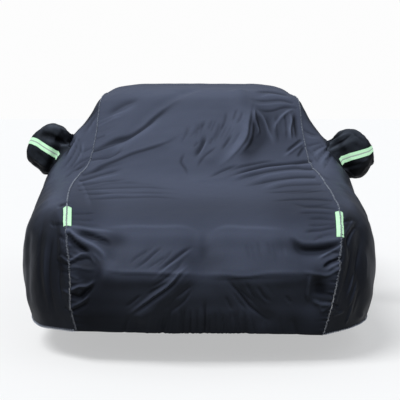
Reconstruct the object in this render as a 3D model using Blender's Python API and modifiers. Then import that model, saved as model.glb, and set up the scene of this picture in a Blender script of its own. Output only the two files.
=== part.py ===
"""A fitted car cover in the shape in which it hangs: one long panel from the front hem over bonnet, roof and
boot to the rear hem, a panel down each side, two hollow mirror pockets and four reflective strips.

Metres, +Z up, the front towards -Y. Lengths are measured behind the foremost plane and heights above the
ground. The parent empty then brings the underside of the roof to the origin."""

from collections import namedtuple

import bmesh
import bpy
import numpy as np

CLOTH = 0.0012  # coated cover cloth
TAPE = 0.0010  # reflective tape with its backing
SIDES = {"left": -1, "right": 1}
SEW_GAP = 0.0010  # between panels that meet at a seam
LAY_GAP = 0.0006  # between a strip and the cloth under it
STRIP_WIDTH = 0.050
ROOF_MOUNT = (0.0, 2.860, 1.456)  # the underside of the highest place of the roof

# A side panel's sections from the front seam to the rear seam. Each level is (out, behind, height).
Section = namedtuple("Section", "name hem low wide shoulder seam")
SIDE = (
    Section(
        "front", (0.614, 0.160, 0.162), (0.637, 0.110, 0.306), (0.634, 0.085, 0.453),
        (0.656, 0.130, 0.607), (0.674, 0.290, 0.779),
    ),
    Section(
        "corner", (0.806, 0.345, 0.150), (0.848, 0.300, 0.300), (0.857, 0.290, 0.460),
        (0.830, 0.340, 0.650), (0.694, 0.500, 0.812),
    ),
    Section(
        "flank", (0.917, 0.700, 0.140), (0.949, 0.700, 0.290), (0.956, 0.700, 0.460),
        (0.914, 0.730, 0.695), (0.706, 0.780, 0.850),
    ),
    Section(
        "bonnet", (0.926, 1.080, 0.125), (0.953, 1.080, 0.290), (0.959, 1.080, 0.470),
        (0.912, 1.100, 0.800), (0.698, 1.120, 0.892),
    ),
    Section(
        "cowl", (0.924, 1.420, 0.125), (0.953, 1.420, 0.290), (0.958, 1.420, 0.480),
        (0.890, 1.440, 0.920), (0.670, 1.440, 0.955),
    ),
    Section(
        "mirror", (0.920, 1.780, 0.125), (0.946, 1.780, 0.290), (0.950, 1.780, 0.490),
        (0.885, 1.780, 0.975), (0.660, 1.780, 1.130),
    ),
    Section(
        "pillar", (0.920, 2.120, 0.125), (0.944, 2.120, 0.290), (0.948, 2.120, 0.490),
        (0.880, 2.120, 0.985), (0.660, 2.120, 1.330),
    ),
    Section(
        "roof", (0.918, 2.480, 0.125), (0.942, 2.480, 0.290), (0.946, 2.480, 0.490),
        (0.885, 2.480, 0.985), (0.664, 2.480, 1.385),
    ),
    Section(
        "middle", (0.915, 2.860, 0.125), (0.940, 2.860, 0.290), (0.943, 2.860, 0.490),
        (0.885, 2.860, 0.985), (0.660, 2.860, 1.392),
    ),
    Section(
        "tail", (0.912, 3.240, 0.125), (0.936, 3.240, 0.290), (0.940, 3.240, 0.490),
        (0.882, 3.240, 0.980), (0.640, 3.240, 1.360),
    ),
    Section(
        "glass", (0.908, 3.600, 0.130), (0.932, 3.600, 0.290), (0.937, 3.600, 0.490),
        (0.878, 3.600, 0.970), (0.630, 3.600, 1.240),
    ),
    Section(
        "boot", (0.900, 3.940, 0.140), (0.924, 3.940, 0.300), (0.928, 3.940, 0.500),
        (0.868, 3.940, 0.940), (0.650, 3.940, 1.090),
    ),
    Section(
        "bend", (0.845, 4.240, 0.160), (0.878, 4.280, 0.320), (0.884, 4.290, 0.520),
        (0.840, 4.250, 0.880), (0.670, 4.220, 1.000),
    ),
    Section(
        "back", (0.620, 4.440, 0.180), (0.650, 4.500, 0.330), (0.668, 4.520, 0.520),
        (0.672, 4.490, 0.760), (0.668, 4.380, 0.930),
    ),
)
LEVELS = Section._fields[1:]
TOP = len(LEVELS) - 1

# Where the cover sits otherwise on the right: (section, level, out, height) added to the table above.
RIGHT_DIFFERS = (
    ("front", "hem", 0.003, -0.018),
    ("front", "low", 0.014, -0.010),
    ("front", "wide", 0.046, 0.004),
    ("front", "shoulder", 0.046, -0.007),
    ("front", "seam", 0.040, -0.022),
    ("corner", "seam", 0.017, -0.010),
    ("bonnet", "shoulder", -0.035, 0.000),
    ("cowl", "shoulder", -0.035, 0.000),
    ("mirror", "shoulder", -0.028, 0.000),
    ("pillar", "shoulder", -0.020, 0.000),
    ("roof", "seam", -0.016, -0.010),
    ("middle", "seam", -0.016, -0.010),
)

# Each side between shoulder and seam: place along, then how far out and up from the even curve there.
UPPER_LEVEL = 3.6
Upper = namedtuple("Upper", "place out up")
UPPER = {
    "left": (
        Upper(7, 0.000, 0.000),
        Upper(8, 0.010, 0.010),
        Upper(9, 0.052, 0.010),
        Upper(10, -0.028, -0.032),
        Upper(11, -0.040, -0.024),
        Upper(12, -0.042, -0.024),
        Upper(13, -0.036, -0.022),
        Upper(14, -0.026, -0.016),
        Upper(15, -0.012, -0.008),
        Upper(16, 0.000, 0.000),
    ),
    "right": (
        Upper(7, 0.000, 0.000),
        Upper(8, 0.010, 0.010),
        Upper(9, 0.060, -0.012),
        Upper(10, -0.034, -0.036),
        Upper(11, -0.048, -0.022),
        Upper(12, -0.050, -0.022),
        Upper(13, -0.044, -0.022),
        Upper(14, -0.030, -0.016),
        Upper(15, -0.012, -0.008),
        Upper(16, 0.000, 0.000),
    ),
}

# The long panel along its middle line: behind, height, and how square its cross section is.
Crown = namedtuple("Crown", "name behind height square")
CROWN = (
    Crown("hem", 0.100, 0.166, 2.0),
    Crown("below lip", 0.030, 0.300, 2.2),
    Crown("lip", -0.020, 0.472, 2.4),
    Crown("fascia", 0.075, 0.600, 3.0),
    Crown("edge", 0.200, 0.702, 3.0),
    Crown("bonnet front", 0.420, 0.762, 2.6),
    Crown("bonnet", 0.720, 0.805, 2.4),
    Crown("cowl", 1.020, 0.850, 2.4),
    Crown("screen foot", 1.340, 0.990, 2.6),
    Crown("screen", 1.720, 1.205, 3.0),
    Crown("roof edge", 2.060, 1.370, 4.5),
    Crown("roof front", 2.460, 1.446, 9.0),
    Crown("roof", 2.860, 1.457, 9.0),
    Crown("roof tail", 3.260, 1.428, 7.0),
    Crown("glass", 3.620, 1.310, 4.0),
    Crown("boot front", 3.960, 1.150, 3.0),
    Crown("boot", 4.240, 1.050, 3.0),
    Crown("boot edge", 4.460, 0.980, 3.0),
    Crown("tail face", 4.550, 0.790, 3.0),
    Crown("bumper", 4.580, 0.550, 2.4),
    Crown("below bumper", 4.550, 0.340, 2.2),
    Crown("rear hem", 4.490, 0.190, 2.0),
)
LAST = len(CROWN) - 1
PLAN_BOW = 2.2  # how the front and the rear bow backwards towards the seams
SHARES = (-1.0, -0.93, -0.72, -0.38, 0.0, 0.38, 0.72, 0.93, 1.0)  # of the half width between the seams

# Ribs run down each side from the seam: (place on the seam, place along the hem, in side sections).
RIB_SEAM = (0, 4, 8, 13, 17, 21)
RIB_HEM = (0.0, 1.5, 4.0, 9.0, 11.5, 13.0)

# The mesh lines: places along the cover, shares of the long panel's half width, levels up a side panel.
ALONG = (
    0.0, 0.5, 1.0, 1.5, 2.0, 2.3, 2.65, 3.0, 3.25, 3.5, 3.75, 4.0, 4.3, 4.6, 5.1, 5.6, 6.1, 6.6, 7.0, 7.35,
    7.7, 8.05, 8.35, 8.62, 8.82, 9.02, 9.22, 9.42, 9.75, 10.1, 10.5, 11.0, 11.7, 12.4, 13.1, 13.8, 14.5, 15.2,
    16.0, 16.5, 17.0, 17.6, 18.3, 19.0, 20.0, 21.0,
)
ACROSS = (0.86, 0.76, 0.66, 0.56, 0.45, 0.33, 0.21, 0.10)
UP = (0.0, 0.6, 1.2, 1.75, 2.25, 2.64, 2.84, 3.00, 3.16, 3.34, 3.52, 3.74)
MOUTH_ALONG = (8.62, 9.42)  # where the side panels are cut out behind the pockets
MOUTH_UP = (2.64, 3.52)
MOUTH_INSET = 0.0018
STRIP_ALONG = {"left": (3.5, 4.0), "right": (3.25, 4.0)}
STRIP_STEP = 0.3  # the mouth's middle step, whose lines carry the pocket's strip
INSIDE = (0.0, 2.3, 0.5)  # a point within the cover
MERGE = 1e-6
TINY = 1e-6
EDGE_STEP = 0.02  # the small step across the cover by which a strip's edge is found
FOLD_POINTS = 5  # points on each leg of a fold

# Main folds: the cover's (across, along) points with the seams at -1 and 1, half width, and how far out.
Fold = namedtuple("Fold", "name path width height")
FOLDS = (
    Fold("screen fold, left", ((-0.84, 8.15), (-0.50, 9.3), (-0.10, 10.3)), 0.050, -0.014),
    Fold("screen fold, right", ((0.42, 10.2), (0.40, 9.2), (0.30, 8.5), (0.10, 7.9)), 0.055, 0.016),
    Fold("screen hollow, right", ((0.66, 9.9), (0.62, 9.1), (0.56, 8.5)), 0.090, -0.018),
    Fold("cowl fan, right", ((0.84, 7.6), (0.40, 7.3), (0.02, 7.15)), 0.045, 0.010),
    Fold("screen fan, left", ((-0.88, 7.7), (-0.60, 8.1), (-0.35, 8.3)), 0.045, 0.010),
    Fold("front dip", ((0.02, 3.2), (0.02, 2.2)), 0.070, -0.014),
    Fold("front lobe, left", ((-0.55, 2.9), (-0.15, 2.9)), 0.075, 0.010),
    Fold("front lobe, right", ((0.18, 2.9), (0.62, 2.9)), 0.075, 0.010),
    Fold("lip", ((-0.72, 2.0), (0.80, 2.0)), 0.045, 0.012),
    Fold("corner hollow, left", ((-0.93, 2.75), (-0.72, 2.45)), 0.050, -0.022),
    Fold("corner cone, left", ((-0.97, 3.2), (-0.85, 2.8), (-0.70, 2.2)), 0.040, 0.014),
    Fold("corner hollow, right", ((0.60, 2.95), (0.92, 2.80)), 0.050, -0.022),
    Fold("box hollow, right", ((0.84, 1.75), (0.86, 1.1)), 0.060, -0.018),
    Fold("slant below the lip, left", ((-0.12, 1.95), (-0.45, 0.7)), 0.040, 0.010),
    Fold("slant below the lip, right", ((0.20, 1.9), (0.50, 0.6)), 0.040, -0.008),
)
SIDE_FOLDS = (
    Fold("flank, left", ((-1.35, 5.0), (-1.75, 4.2)), 0.050, -0.010),
    Fold("flank, right", ((1.30, 4.6), (1.50, 3.6), (1.80, 3.0)), 0.050, -0.012),
    Fold("shoulder, right", ((1.18, 7.6), (1.30, 6.2)), 0.060, 0.010),
)

# A pocket's rings from the root to the tip: how far out at its middle, how much less at its top, its lowest
# and highest place, its front and rear place, and how far the ring is turned, in degrees.
Ring = namedtuple("Ring", "out lean low high near far turn")
POCKETS = {
    "left": (
        Ring(0.904, 0.070, 0.858, 1.114, 1.672, 1.906, -13.0),
        Ring(0.938, 0.058, 0.858, 1.168, 1.650, 1.935, -11.0),
        Ring(0.988, 0.040, 0.887, 1.184, 1.660, 1.920, -5.0),
        Ring(1.045, 0.020, 0.920, 1.148, 1.685, 1.895, 15.0),
        Ring(1.090, 0.006, 0.962, 1.078, 1.725, 1.855, 50.0),
    ),
    "right": (
        Ring(0.905, 0.062, 0.838, 1.078, 1.665, 1.915, -7.0),
        Ring(0.950, 0.052, 0.833, 1.136, 1.650, 1.935, -10.0),
        Ring(1.010, 0.040, 0.850, 1.153, 1.660, 1.920, -8.0),
        Ring(1.068, 0.022, 0.903, 1.115, 1.685, 1.895, -4.0),
        Ring(1.109, 0.009, 0.935, 1.036, 1.725, 1.855, 40.0),
    ),
}
RING_SQUARE = 2.6
TIP_OUT = 0.008  # how far the tip's middle stands beyond its last ring

FINISHES = {  # colour, roughness
    "cloth": ((0.085, 0.098, 0.135), 0.42),
    "pocket": ((0.035, 0.042, 0.055), 0.45),
    "strip": ((0.560, 0.820, 0.600), 0.35),
}


def smooth(points, places, before=None, after=None):
    """A smooth curve through points, read at places counted in points. before and after come next to it."""
    points = np.asarray(points, float)
    first = 2 * points[0] - points[1] if before is None else before
    final = 2 * points[-1] - points[-2] if after is None else after
    chain = np.concatenate([first[None], points, final[None]])
    steps = np.diff(chain, axis=0)
    lengths = np.linalg.norm(steps, axis=-1, keepdims=True) + TINY
    slopes = steps / lengths
    turns = (slopes[:-1] * lengths[1:] + slopes[1:] * lengths[:-1]) / (lengths[1:] + lengths[:-1])
    places = np.asarray(places, float)
    start = np.clip(np.floor(places).astype(int), 0, len(points) - 2)
    share = (places - start).reshape((-1,) + (1,) * (points.ndim - 1))
    ease = share * share * (3 - 2 * share)
    straight = points[start] * (1 - ease) + points[start + 1] * ease
    leave = share * (1 - share) ** 2 * turns[start]
    arrive = share * share * (share - 1) * turns[start + 1]
    return straight + lengths[1:-1][start] * (leave + arrive)


def side_table(sign):
    """A side's sections as an array [section, level, xyz]."""
    table = np.array([section[1:] for section in SIDE])
    if sign > 0:
        names = [section.name for section in SIDE]
        for name, level, out, height in RIGHT_DIFFERS:
            table[names.index(name), LEVELS.index(level)] += (out, 0, height)
    table[..., 0] *= sign
    return table


def side_ribs(sign):
    """A side's ribs [place on the seam, level, xyz], each read off the table from the hem to the seam."""
    table = side_table(sign)
    final = len(SIDE) - 1
    ribs = []
    for place in range(LAST + 1):
        up = min(place, TOP, LAST - place)
        section = np.clip(place - TOP, 0, final)
        foot = np.interp(place, RIB_SEAM, RIB_HEM)
        rib = []
        for share in np.linspace(0, 1, TOP + 1):
            levels = smooth(table, [foot + (section - foot) * share])[0]
            rib.append(smooth(levels, [up * share])[0])
        ribs.append(rib)
    return np.array(ribs)


def cover_cage():
    """The whole cover's shaping points [place along, column, xyz], from the left hem to the right hem."""
    crown = np.array([row[1:] for row in CROWN])
    ribs = {sign: side_ribs(sign) for sign in SIDES.values()}
    columns = list(np.swapaxes(ribs[-1], 0, 1)[:-1])
    for share in SHARES:
        seam = ribs[1 if share > 0 else -1][:, TOP]
        far = abs(share)
        across = seam[:, 0] * far
        behind = crown[:, 0] + (seam[:, 1] - crown[:, 0]) * far**PLAN_BOW
        height = crown[:, 1] + (seam[:, 2] - crown[:, 1]) * far ** crown[:, 2]
        columns.append(np.stack([across, behind, height], axis=-1))
    columns.extend(np.swapaxes(ribs[1], 0, 1)[:-1][::-1])
    uppers = smooth(columns, (UPPER_LEVEL, len(columns) - 1 - UPPER_LEVEL))
    for upper, (side, sign) in zip(uppers, SIDES.items()):
        places, out, up = np.array(UPPER[side]).T
        upper[:, 0] += sign * np.interp(range(LAST + 1), places, out)
        upper[:, 2] += np.interp(range(LAST + 1), places, up)
    columns.insert(len(columns) - TOP, uppers[1])
    columns.insert(TOP, uppers[0])
    return np.stack(columns, axis=1)


CAGE = cover_cage()
SEAM_COLUMNS = {-1: TOP + 1, 1: TOP + len(SHARES)}


def column(across):
    """The cage column of a place across the cover: the seams are at -1 and 1, the side hems at -2 and 2."""
    shoulder, upper = 2 - (TOP - 1) / TOP, 2 - UPPER_LEVEL / TOP
    places = (-2, -shoulder, -upper, *SHARES, upper, shoulder, 2)
    left, right = SEAM_COLUMNS[-1], SEAM_COLUMNS[1]
    inner = range(left - 1, right + 2)
    return np.interp(across, places, (0, TOP - 1, *inner, right + 2, right + TOP + 1))


def surface(across, along):
    """Points of the cover, one for each pair of places."""
    rows = smooth(CAGE, along)
    return np.array([smooth(row, [column(place)])[0] for row, place in zip(rows, across)])


def surface_grid(across_rows, along):
    """Points of the cover [along, across, xyz], where each place along has its own places across."""
    rows = smooth(CAGE, along)
    return np.array([smooth(row, column(places)) for row, places in zip(rows, across_rows)])


def strip_edge(sign, inward):
    """For each place along, the place across that lies half a strip's width from the seam."""
    step = EDGE_STEP * inward
    seam = surface([sign] * len(ALONG), ALONG)
    near = surface([sign + step] * len(ALONG), ALONG)
    return sign + step * STRIP_WIDTH / 2 / (np.linalg.norm(near - seam, axis=-1) + TINY)


def normals(grid):
    facing = np.cross(np.gradient(grid, axis=1), np.gradient(grid, axis=0))
    return facing / (np.linalg.norm(facing, axis=-1, keepdims=True) + TINY**2)


def distance_to(path, points):
    """How far each point lies from a line of straight pieces."""
    nearest = np.full(points.shape[:-1], np.inf)
    for start, end in zip(path[:-1], path[1:]):
        run = end - start
        share = np.clip(((points - start) @ run) / (run @ run), 0, 1)
        gap = np.linalg.norm(points - start - share[..., None] * run, axis=-1)
        nearest = np.minimum(nearest, gap)
    return nearest


def folded(grid, folds):
    """The grid pushed out or in along its normals by main folds. Its own edges stay where they are."""
    rise = np.zeros(grid.shape[:-1])
    for fold in folds:
        across, along = np.array(fold.path).T
        points = np.linspace(0, len(across) - 1, FOLD_POINTS * len(across))
        corners = np.arange(len(across))
        path = surface(np.interp(points, corners, across), np.interp(points, corners, along))
        rise += fold.height * np.exp(-((distance_to(path, grid) / fold.width) ** 2))
    rise[[0, -1]] = 0
    rise[:, [0, 1, -2, -1]] = 0
    return grid + normals(grid) * rise[..., None]


def drawn_in(grid, columns):
    """The grid with the named edge columns drawn in by half the sewing gap."""
    for edge, inner in columns:
        step = grid[:, inner] - grid[:, edge]
        length = np.linalg.norm(step, axis=-1, keepdims=True) + TINY
        grid[:, edge] += step / length * np.minimum(SEW_GAP / 2, length / 2)
    return grid


def centre_grid():
    """The long panel's points [along, across, xyz], from the left seam to the right seam."""
    across = np.array((*[-share for share in ACROSS], 0.0, *ACROSS[::-1]))
    left, right = strip_edge(-1, 1), strip_edge(1, -1)
    rows = [(-1.0, near, *across, far, 1.0) for near, far in zip(left, right)]
    return drawn_in(folded(surface_grid(rows, ALONG), FOLDS), ((0, 1), (-1, -2)))


def side_grid(sign):
    """A side panel's points [along, up, xyz], hem to seam. Its two ends are points at the hem."""
    levels = np.array(UP) / TOP
    near = strip_edge(sign, sign)
    rows = [(*(sign * (2 - levels)), place, sign) for place in near]
    grid = drawn_in(folded(surface_grid(rows, ALONG), SIDE_FOLDS), ((-1, -2),))
    for end, inner in ((0, 1), (-1, -2)):
        step = grid[inner, 0] - grid[end, 0]
        grid[end] = grid[end, 0] + step / np.linalg.norm(step) * SEW_GAP
    return grid


def mouth_ring(grid):
    """The edge of the hole that a side panel has behind its pocket: along the bottom, up, back and down."""
    first, last = (ALONG.index(place) for place in MOUTH_ALONG)
    low, high = (UP.index(level) for level in MOUTH_UP)
    ring = [(i, low) for i in range(first, last)]
    ring += [(last, j) for j in range(low, high)]
    ring += [(i, high) for i in range(last, first, -1)]
    ring += [(first, j) for j in range(high, low, -1)]
    points = np.array([grid[place] for place in ring])
    middle = points.mean(axis=0)
    towards = middle - points
    return points + MOUTH_INSET * towards / np.linalg.norm(towards, axis=-1, keepdims=True)


def ring_places():
    """Where the mouth's corners and steps lie round a square from -1 to 1: (fore-aft, upright)."""
    along = [place for place in ALONG if MOUTH_ALONG[0] <= place <= MOUTH_ALONG[1]]
    up = [level for level in UP if MOUTH_UP[0] <= level <= MOUTH_UP[1]]
    fore = np.interp(along, MOUTH_ALONG, (-1, 1))
    upright = np.interp(up, MOUTH_UP, (-1, 1))
    ring = [(place, -1) for place in fore[:-1]] + [(1, place) for place in upright[:-1]]
    ring += [(place, 1) for place in fore[:0:-1]] + [(-1, place) for place in upright[:0:-1]]
    return np.array(ring)


def pocket_rings(grid, side):
    """A pocket's rings of points, from the panel's hole to the tip."""
    sign = SIDES[side]
    rings = [mouth_ring(grid)]
    fore, upright = ring_places().T
    strip_lines = (fore == -1) & (abs(upright) < STRIP_STEP)
    for ring in POCKETS[side]:
        turn = np.radians(ring.turn)
        tall = (ring.high - ring.low) / 2
        long = (ring.far - ring.near) / 2
        up = np.where(strip_lines, np.sign(upright) * STRIP_WIDTH / 2 / tall, upright)
        ahead = fore * np.cos(turn) + up * np.sin(turn)
        above = up * np.cos(turn) - fore * np.sin(turn)
        size = (abs(ahead) ** RING_SQUARE + abs(above) ** RING_SQUARE) ** (-1 / RING_SQUARE)
        out = sign * (ring.out - size * above * ring.lean)
        behind = (ring.near + ring.far) / 2 + size * ahead * long
        height = (ring.low + ring.high) / 2 + size * above * tall
        rings.append(np.stack([out, behind, height], axis=-1))
    tip = rings[-1].mean(axis=0) + (sign * TIP_OUT, 0, 0)
    return np.array([*rings, np.repeat(tip[None], len(fore), axis=0)])


def outwards(grid, middle):
    """The grid's normals, turned away from a point inside it."""
    facing = normals(grid)
    return facing * np.sign(((grid - middle) * facing).sum(axis=-1).mean())


def new_material(name, colour, roughness):
    material = bpy.data.materials.new(name)
    material.use_nodes = True
    shader = material.node_tree.nodes["Principled BSDF"]
    shader.inputs["Base Color"].default_value = (*colour, 1.0)
    shader.inputs["Roughness"].default_value = roughness
    shader.inputs["Metallic"].default_value = 0.0
    return material


def new_sheet(name, rows, finish, thickness, closed=False, hole=None):
    """A sheet lofted through rows of points, as an object with a wall. hole leaves out a block of cells."""
    bm = bmesh.new()
    points = [[bm.verts.new(point) for point in row] for row in rows]
    width = len(rows[0])
    for i in range(len(rows) - 1):
        for j in range(width if closed else width - 1):
            if hole and hole[0] <= i < hole[1] and hole[2] <= j < hole[3]:
                continue
            k = (j + 1) % width
            bm.faces.new((points[i][j], points[i][k], points[i + 1][k], points[i + 1][j]))
    bmesh.ops.delete(bm, geom=[vert for vert in bm.verts if not vert.link_faces], context="VERTS")
    bmesh.ops.remove_doubles(bm, verts=bm.verts, dist=MERGE)
    bmesh.ops.triangulate(bm, faces=bm.faces, quad_method="SHORT_EDGE")
    mesh = bpy.data.meshes.new(name)
    bm.to_mesh(mesh)
    bm.free()
    mesh.shade_smooth()
    mesh.materials.append(finish)
    sheet = bpy.data.objects.new(name, mesh)
    wall = sheet.modifiers.new("Wall", "SOLIDIFY")
    wall.thickness = thickness
    wall.offset = 0
    return sheet


def mouth_cells():
    """The cells of a side panel's grid that the pocket's mouth takes: first and last along, then up."""
    return (*[ALONG.index(place) for place in MOUTH_ALONG], *[UP.index(level) for level in MOUTH_UP])


def laid_on(points, facing):
    """The middle of a strip on a sheet whose own middle is given."""
    return points + facing * (CLOTH / 2 + LAY_GAP + TAPE / 2)


def corner_strip_rows(side, long_panel, side_panel):
    """A strip over the front seam: one column of cells on each side of it."""
    first, last = (ALONG.index(place) for place in STRIP_ALONG[side])
    edge, inner = (0, 1) if side == "left" else (-1, -2)
    on_long = laid_on(long_panel, outwards(long_panel, INSIDE))[first : last + 1]
    on_side = laid_on(side_panel, outwards(side_panel, INSIDE))[first : last + 1]
    over_seam = (on_long[:, edge] + on_side[:, -1]) / 2
    return np.stack([on_side[:, -2], over_seam, on_long[:, inner]], axis=1)


def pocket_strip_rows(rings):
    """A strip along the front of a pocket, from beside its root to its tip."""
    around = np.concatenate([rings[:, -1:], rings, rings[:, :1]], axis=1)
    facing = outwards(around, rings.mean(axis=(0, 1)))[:, 1:-1]
    fore, upright = ring_places().T
    lines = np.flatnonzero((fore == -1) & (abs(upright) < STRIP_STEP))
    return laid_on(rings, facing)[1:-1, lines]


def clear_scene():
    for thing in list(bpy.data.objects):
        bpy.data.objects.remove(thing)


def main():
    clear_scene()
    cover = bpy.data.collections.new("car_cover")
    bpy.context.scene.collection.children.link(cover)
    ground = bpy.data.objects.new("ground_point", None)
    ground.location = [-place for place in ROOF_MOUNT]
    cover.objects.link(ground)
    finishes = {name: new_material(name, *look) for name, look in FINISHES.items()}

    long_panel = centre_grid()
    sheets = [new_sheet("centre_panel", long_panel, finishes["cloth"], CLOTH)]
    for side, sign in SIDES.items():
        panel = side_grid(sign)
        rings = pocket_rings(panel, side)
        corner_rows = corner_strip_rows(side, long_panel, panel)
        pocket_rows = pocket_strip_rows(rings)
        sheets.append(new_sheet(f"side_panel_{side}", panel, finishes["cloth"], CLOTH, hole=mouth_cells()))
        sheets.append(new_sheet(f"mirror_pocket_{side}", rings, finishes["pocket"], CLOTH, closed=True))
        sheets.append(new_sheet(f"strip_corner_{side}", corner_rows, finishes["strip"], TAPE))
        sheets.append(new_sheet(f"strip_pocket_{side}", pocket_rows, finishes["strip"], TAPE))
    for sheet in sheets:
        sheet.parent = ground
        cover.objects.link(sheet)


main()
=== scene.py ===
import math

import bpy
import numpy as np
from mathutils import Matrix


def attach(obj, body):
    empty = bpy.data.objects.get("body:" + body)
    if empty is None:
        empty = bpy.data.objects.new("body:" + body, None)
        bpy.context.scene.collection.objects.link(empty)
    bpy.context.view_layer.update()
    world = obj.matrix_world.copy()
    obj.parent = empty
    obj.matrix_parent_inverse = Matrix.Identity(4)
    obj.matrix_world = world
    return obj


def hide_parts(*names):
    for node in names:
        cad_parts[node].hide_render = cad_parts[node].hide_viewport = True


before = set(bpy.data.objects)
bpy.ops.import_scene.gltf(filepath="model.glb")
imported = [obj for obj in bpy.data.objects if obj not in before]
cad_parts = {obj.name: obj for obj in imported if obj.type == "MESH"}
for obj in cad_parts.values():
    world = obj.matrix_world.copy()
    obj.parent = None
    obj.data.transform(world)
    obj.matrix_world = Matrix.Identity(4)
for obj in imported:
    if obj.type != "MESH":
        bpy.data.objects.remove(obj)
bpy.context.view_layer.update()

print("frame loaded")

sides = {-1: "left", 1: "right"}   # by the sign of the place across


def eased(share):
    # a share from 0 to 1 that starts and ends gently
    return share * share * (3 - 2 * share)


def nearest(values, wanted):
    return int(np.argmin(abs(values - wanted)))


def deselectAll():
    if bpy.context.object and bpy.context.object.mode != "OBJECT":
        bpy.ops.object.mode_set(mode="OBJECT")
    bpy.ops.object.select_all(action="DESELECT")


def makeActive(piece):
    deselectAll()
    piece.select_set(True)
    bpy.context.view_layer.objects.active = piece


def applyModifiers(piece):
    makeActive(piece)
    for modifier in list(piece.modifiers):
        bpy.ops.object.modifier_apply(modifier=modifier.name)


# the camera, a little above the mirror pockets and looking slightly down at the front
view = {
    "place": (0.0028, -8.1955, -0.198),
    "pitch": 85.47,      # degrees up from straight down
    "lens": 99.85,
    "sensor": 36.0,
    "image": 400,        # pixels each way
}
ground = -1.456          # the floor's height, with the mount at zero
mountBehind = 2.860      # the mount's place behind the foremost plane

deselectAll()
bpy.ops.object.camera_add(location=view["place"], rotation=(math.radians(view["pitch"]), 0, 0))
camera = bpy.context.object
camera.name = "camera"
camera.data.lens = view["lens"]
camera.data.sensor_width = view["sensor"]
camera.data.clip_end = 200
bpy.context.scene.camera = camera


def seenAt(points):
    # where each point falls in the picture: across and down, in pixels
    tilt = math.radians(90 - view["pitch"])
    away = points - np.array(view["place"])
    depth = away[..., 1] * math.cos(tilt) - away[..., 2] * math.sin(tilt)
    down = -away[..., 2] * math.cos(tilt) - away[..., 1] * math.sin(tilt)
    scale = view["image"] * view["lens"] / view["sensor"] / depth
    return np.stack([view["image"] / 2 + away[..., 0] * scale, view["image"] / 2 + down * scale], axis=-1)


# the form of the cover
# a side panel from the front seam to the rear seam: each place is out, behind, height above the floor
sideSections = {
    "front": ((0.614, 0.160, 0.162), (0.637, 0.110, 0.306), (0.634, 0.085, 0.453), (0.656, 0.130, 0.607),
              (0.674, 0.290, 0.779)),
    "corner": ((0.806, 0.345, 0.150), (0.848, 0.300, 0.300), (0.857, 0.290, 0.460), (0.830, 0.340, 0.650),
               (0.694, 0.500, 0.812)),
    "flank": ((0.917, 0.700, 0.140), (0.949, 0.700, 0.290), (0.956, 0.700, 0.460), (0.914, 0.730, 0.695),
              (0.706, 0.780, 0.850)),
    "bonnet": ((0.926, 1.080, 0.125), (0.953, 1.080, 0.290), (0.959, 1.080, 0.470), (0.912, 1.100, 0.800),
               (0.698, 1.120, 0.892)),
    "cowl": ((0.924, 1.420, 0.125), (0.953, 1.420, 0.290), (0.958, 1.420, 0.480), (0.890, 1.440, 0.920),
             (0.670, 1.440, 0.955)),
    "mirror": ((0.920, 1.780, 0.125), (0.946, 1.780, 0.290), (0.950, 1.780, 0.490), (0.885, 1.780, 0.975),
               (0.660, 1.780, 1.130)),
    "pillar": ((0.920, 2.120, 0.125), (0.944, 2.120, 0.290), (0.948, 2.120, 0.490), (0.880, 2.120, 0.985),
               (0.660, 2.120, 1.330)),
    "roof": ((0.918, 2.480, 0.125), (0.942, 2.480, 0.290), (0.946, 2.480, 0.490), (0.885, 2.480, 0.985),
             (0.664, 2.480, 1.385)),
    "middle": ((0.915, 2.860, 0.125), (0.940, 2.860, 0.290), (0.943, 2.860, 0.490), (0.885, 2.860, 0.985),
               (0.660, 2.860, 1.392)),
    "tail": ((0.912, 3.240, 0.125), (0.936, 3.240, 0.290), (0.940, 3.240, 0.490), (0.882, 3.240, 0.980),
             (0.640, 3.240, 1.360)),
    "glass": ((0.908, 3.600, 0.130), (0.932, 3.600, 0.290), (0.937, 3.600, 0.490), (0.878, 3.600, 0.970),
              (0.630, 3.600, 1.240)),
    "boot": ((0.900, 3.940, 0.140), (0.924, 3.940, 0.300), (0.928, 3.940, 0.500), (0.868, 3.940, 0.940),
             (0.650, 3.940, 1.090)),
    "bend": ((0.845, 4.240, 0.160), (0.878, 4.280, 0.320), (0.884, 4.290, 0.520), (0.840, 4.250, 0.880),
             (0.670, 4.220, 1.000)),
    "back": ((0.620, 4.440, 0.180), (0.650, 4.500, 0.330), (0.668, 4.520, 0.520), (0.672, 4.490, 0.760),
             (0.668, 4.380, 0.930)),
}
levels = ("hem", "low", "wide", "shoulder", "seam")
topLevel = len(levels) - 1
# where the right side sits otherwise: added out and height
rightDiffers = {
    ("front", "hem"): (0.003, -0.018),
    ("front", "low"): (0.014, -0.010),
    ("front", "wide"): (0.046, 0.004),
    ("front", "shoulder"): (0.046, -0.007),
    ("front", "seam"): (0.040, -0.022),
    ("corner", "seam"): (0.017, -0.010),
    ("bonnet", "shoulder"): (-0.035, 0.000),
    ("cowl", "shoulder"): (-0.035, 0.000),
    ("mirror", "shoulder"): (-0.028, 0.000),
    ("pillar", "shoulder"): (-0.020, 0.000),
    ("roof", "seam"): (-0.016, -0.010),
    ("middle", "seam"): (-0.016, -0.010),
}
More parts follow.
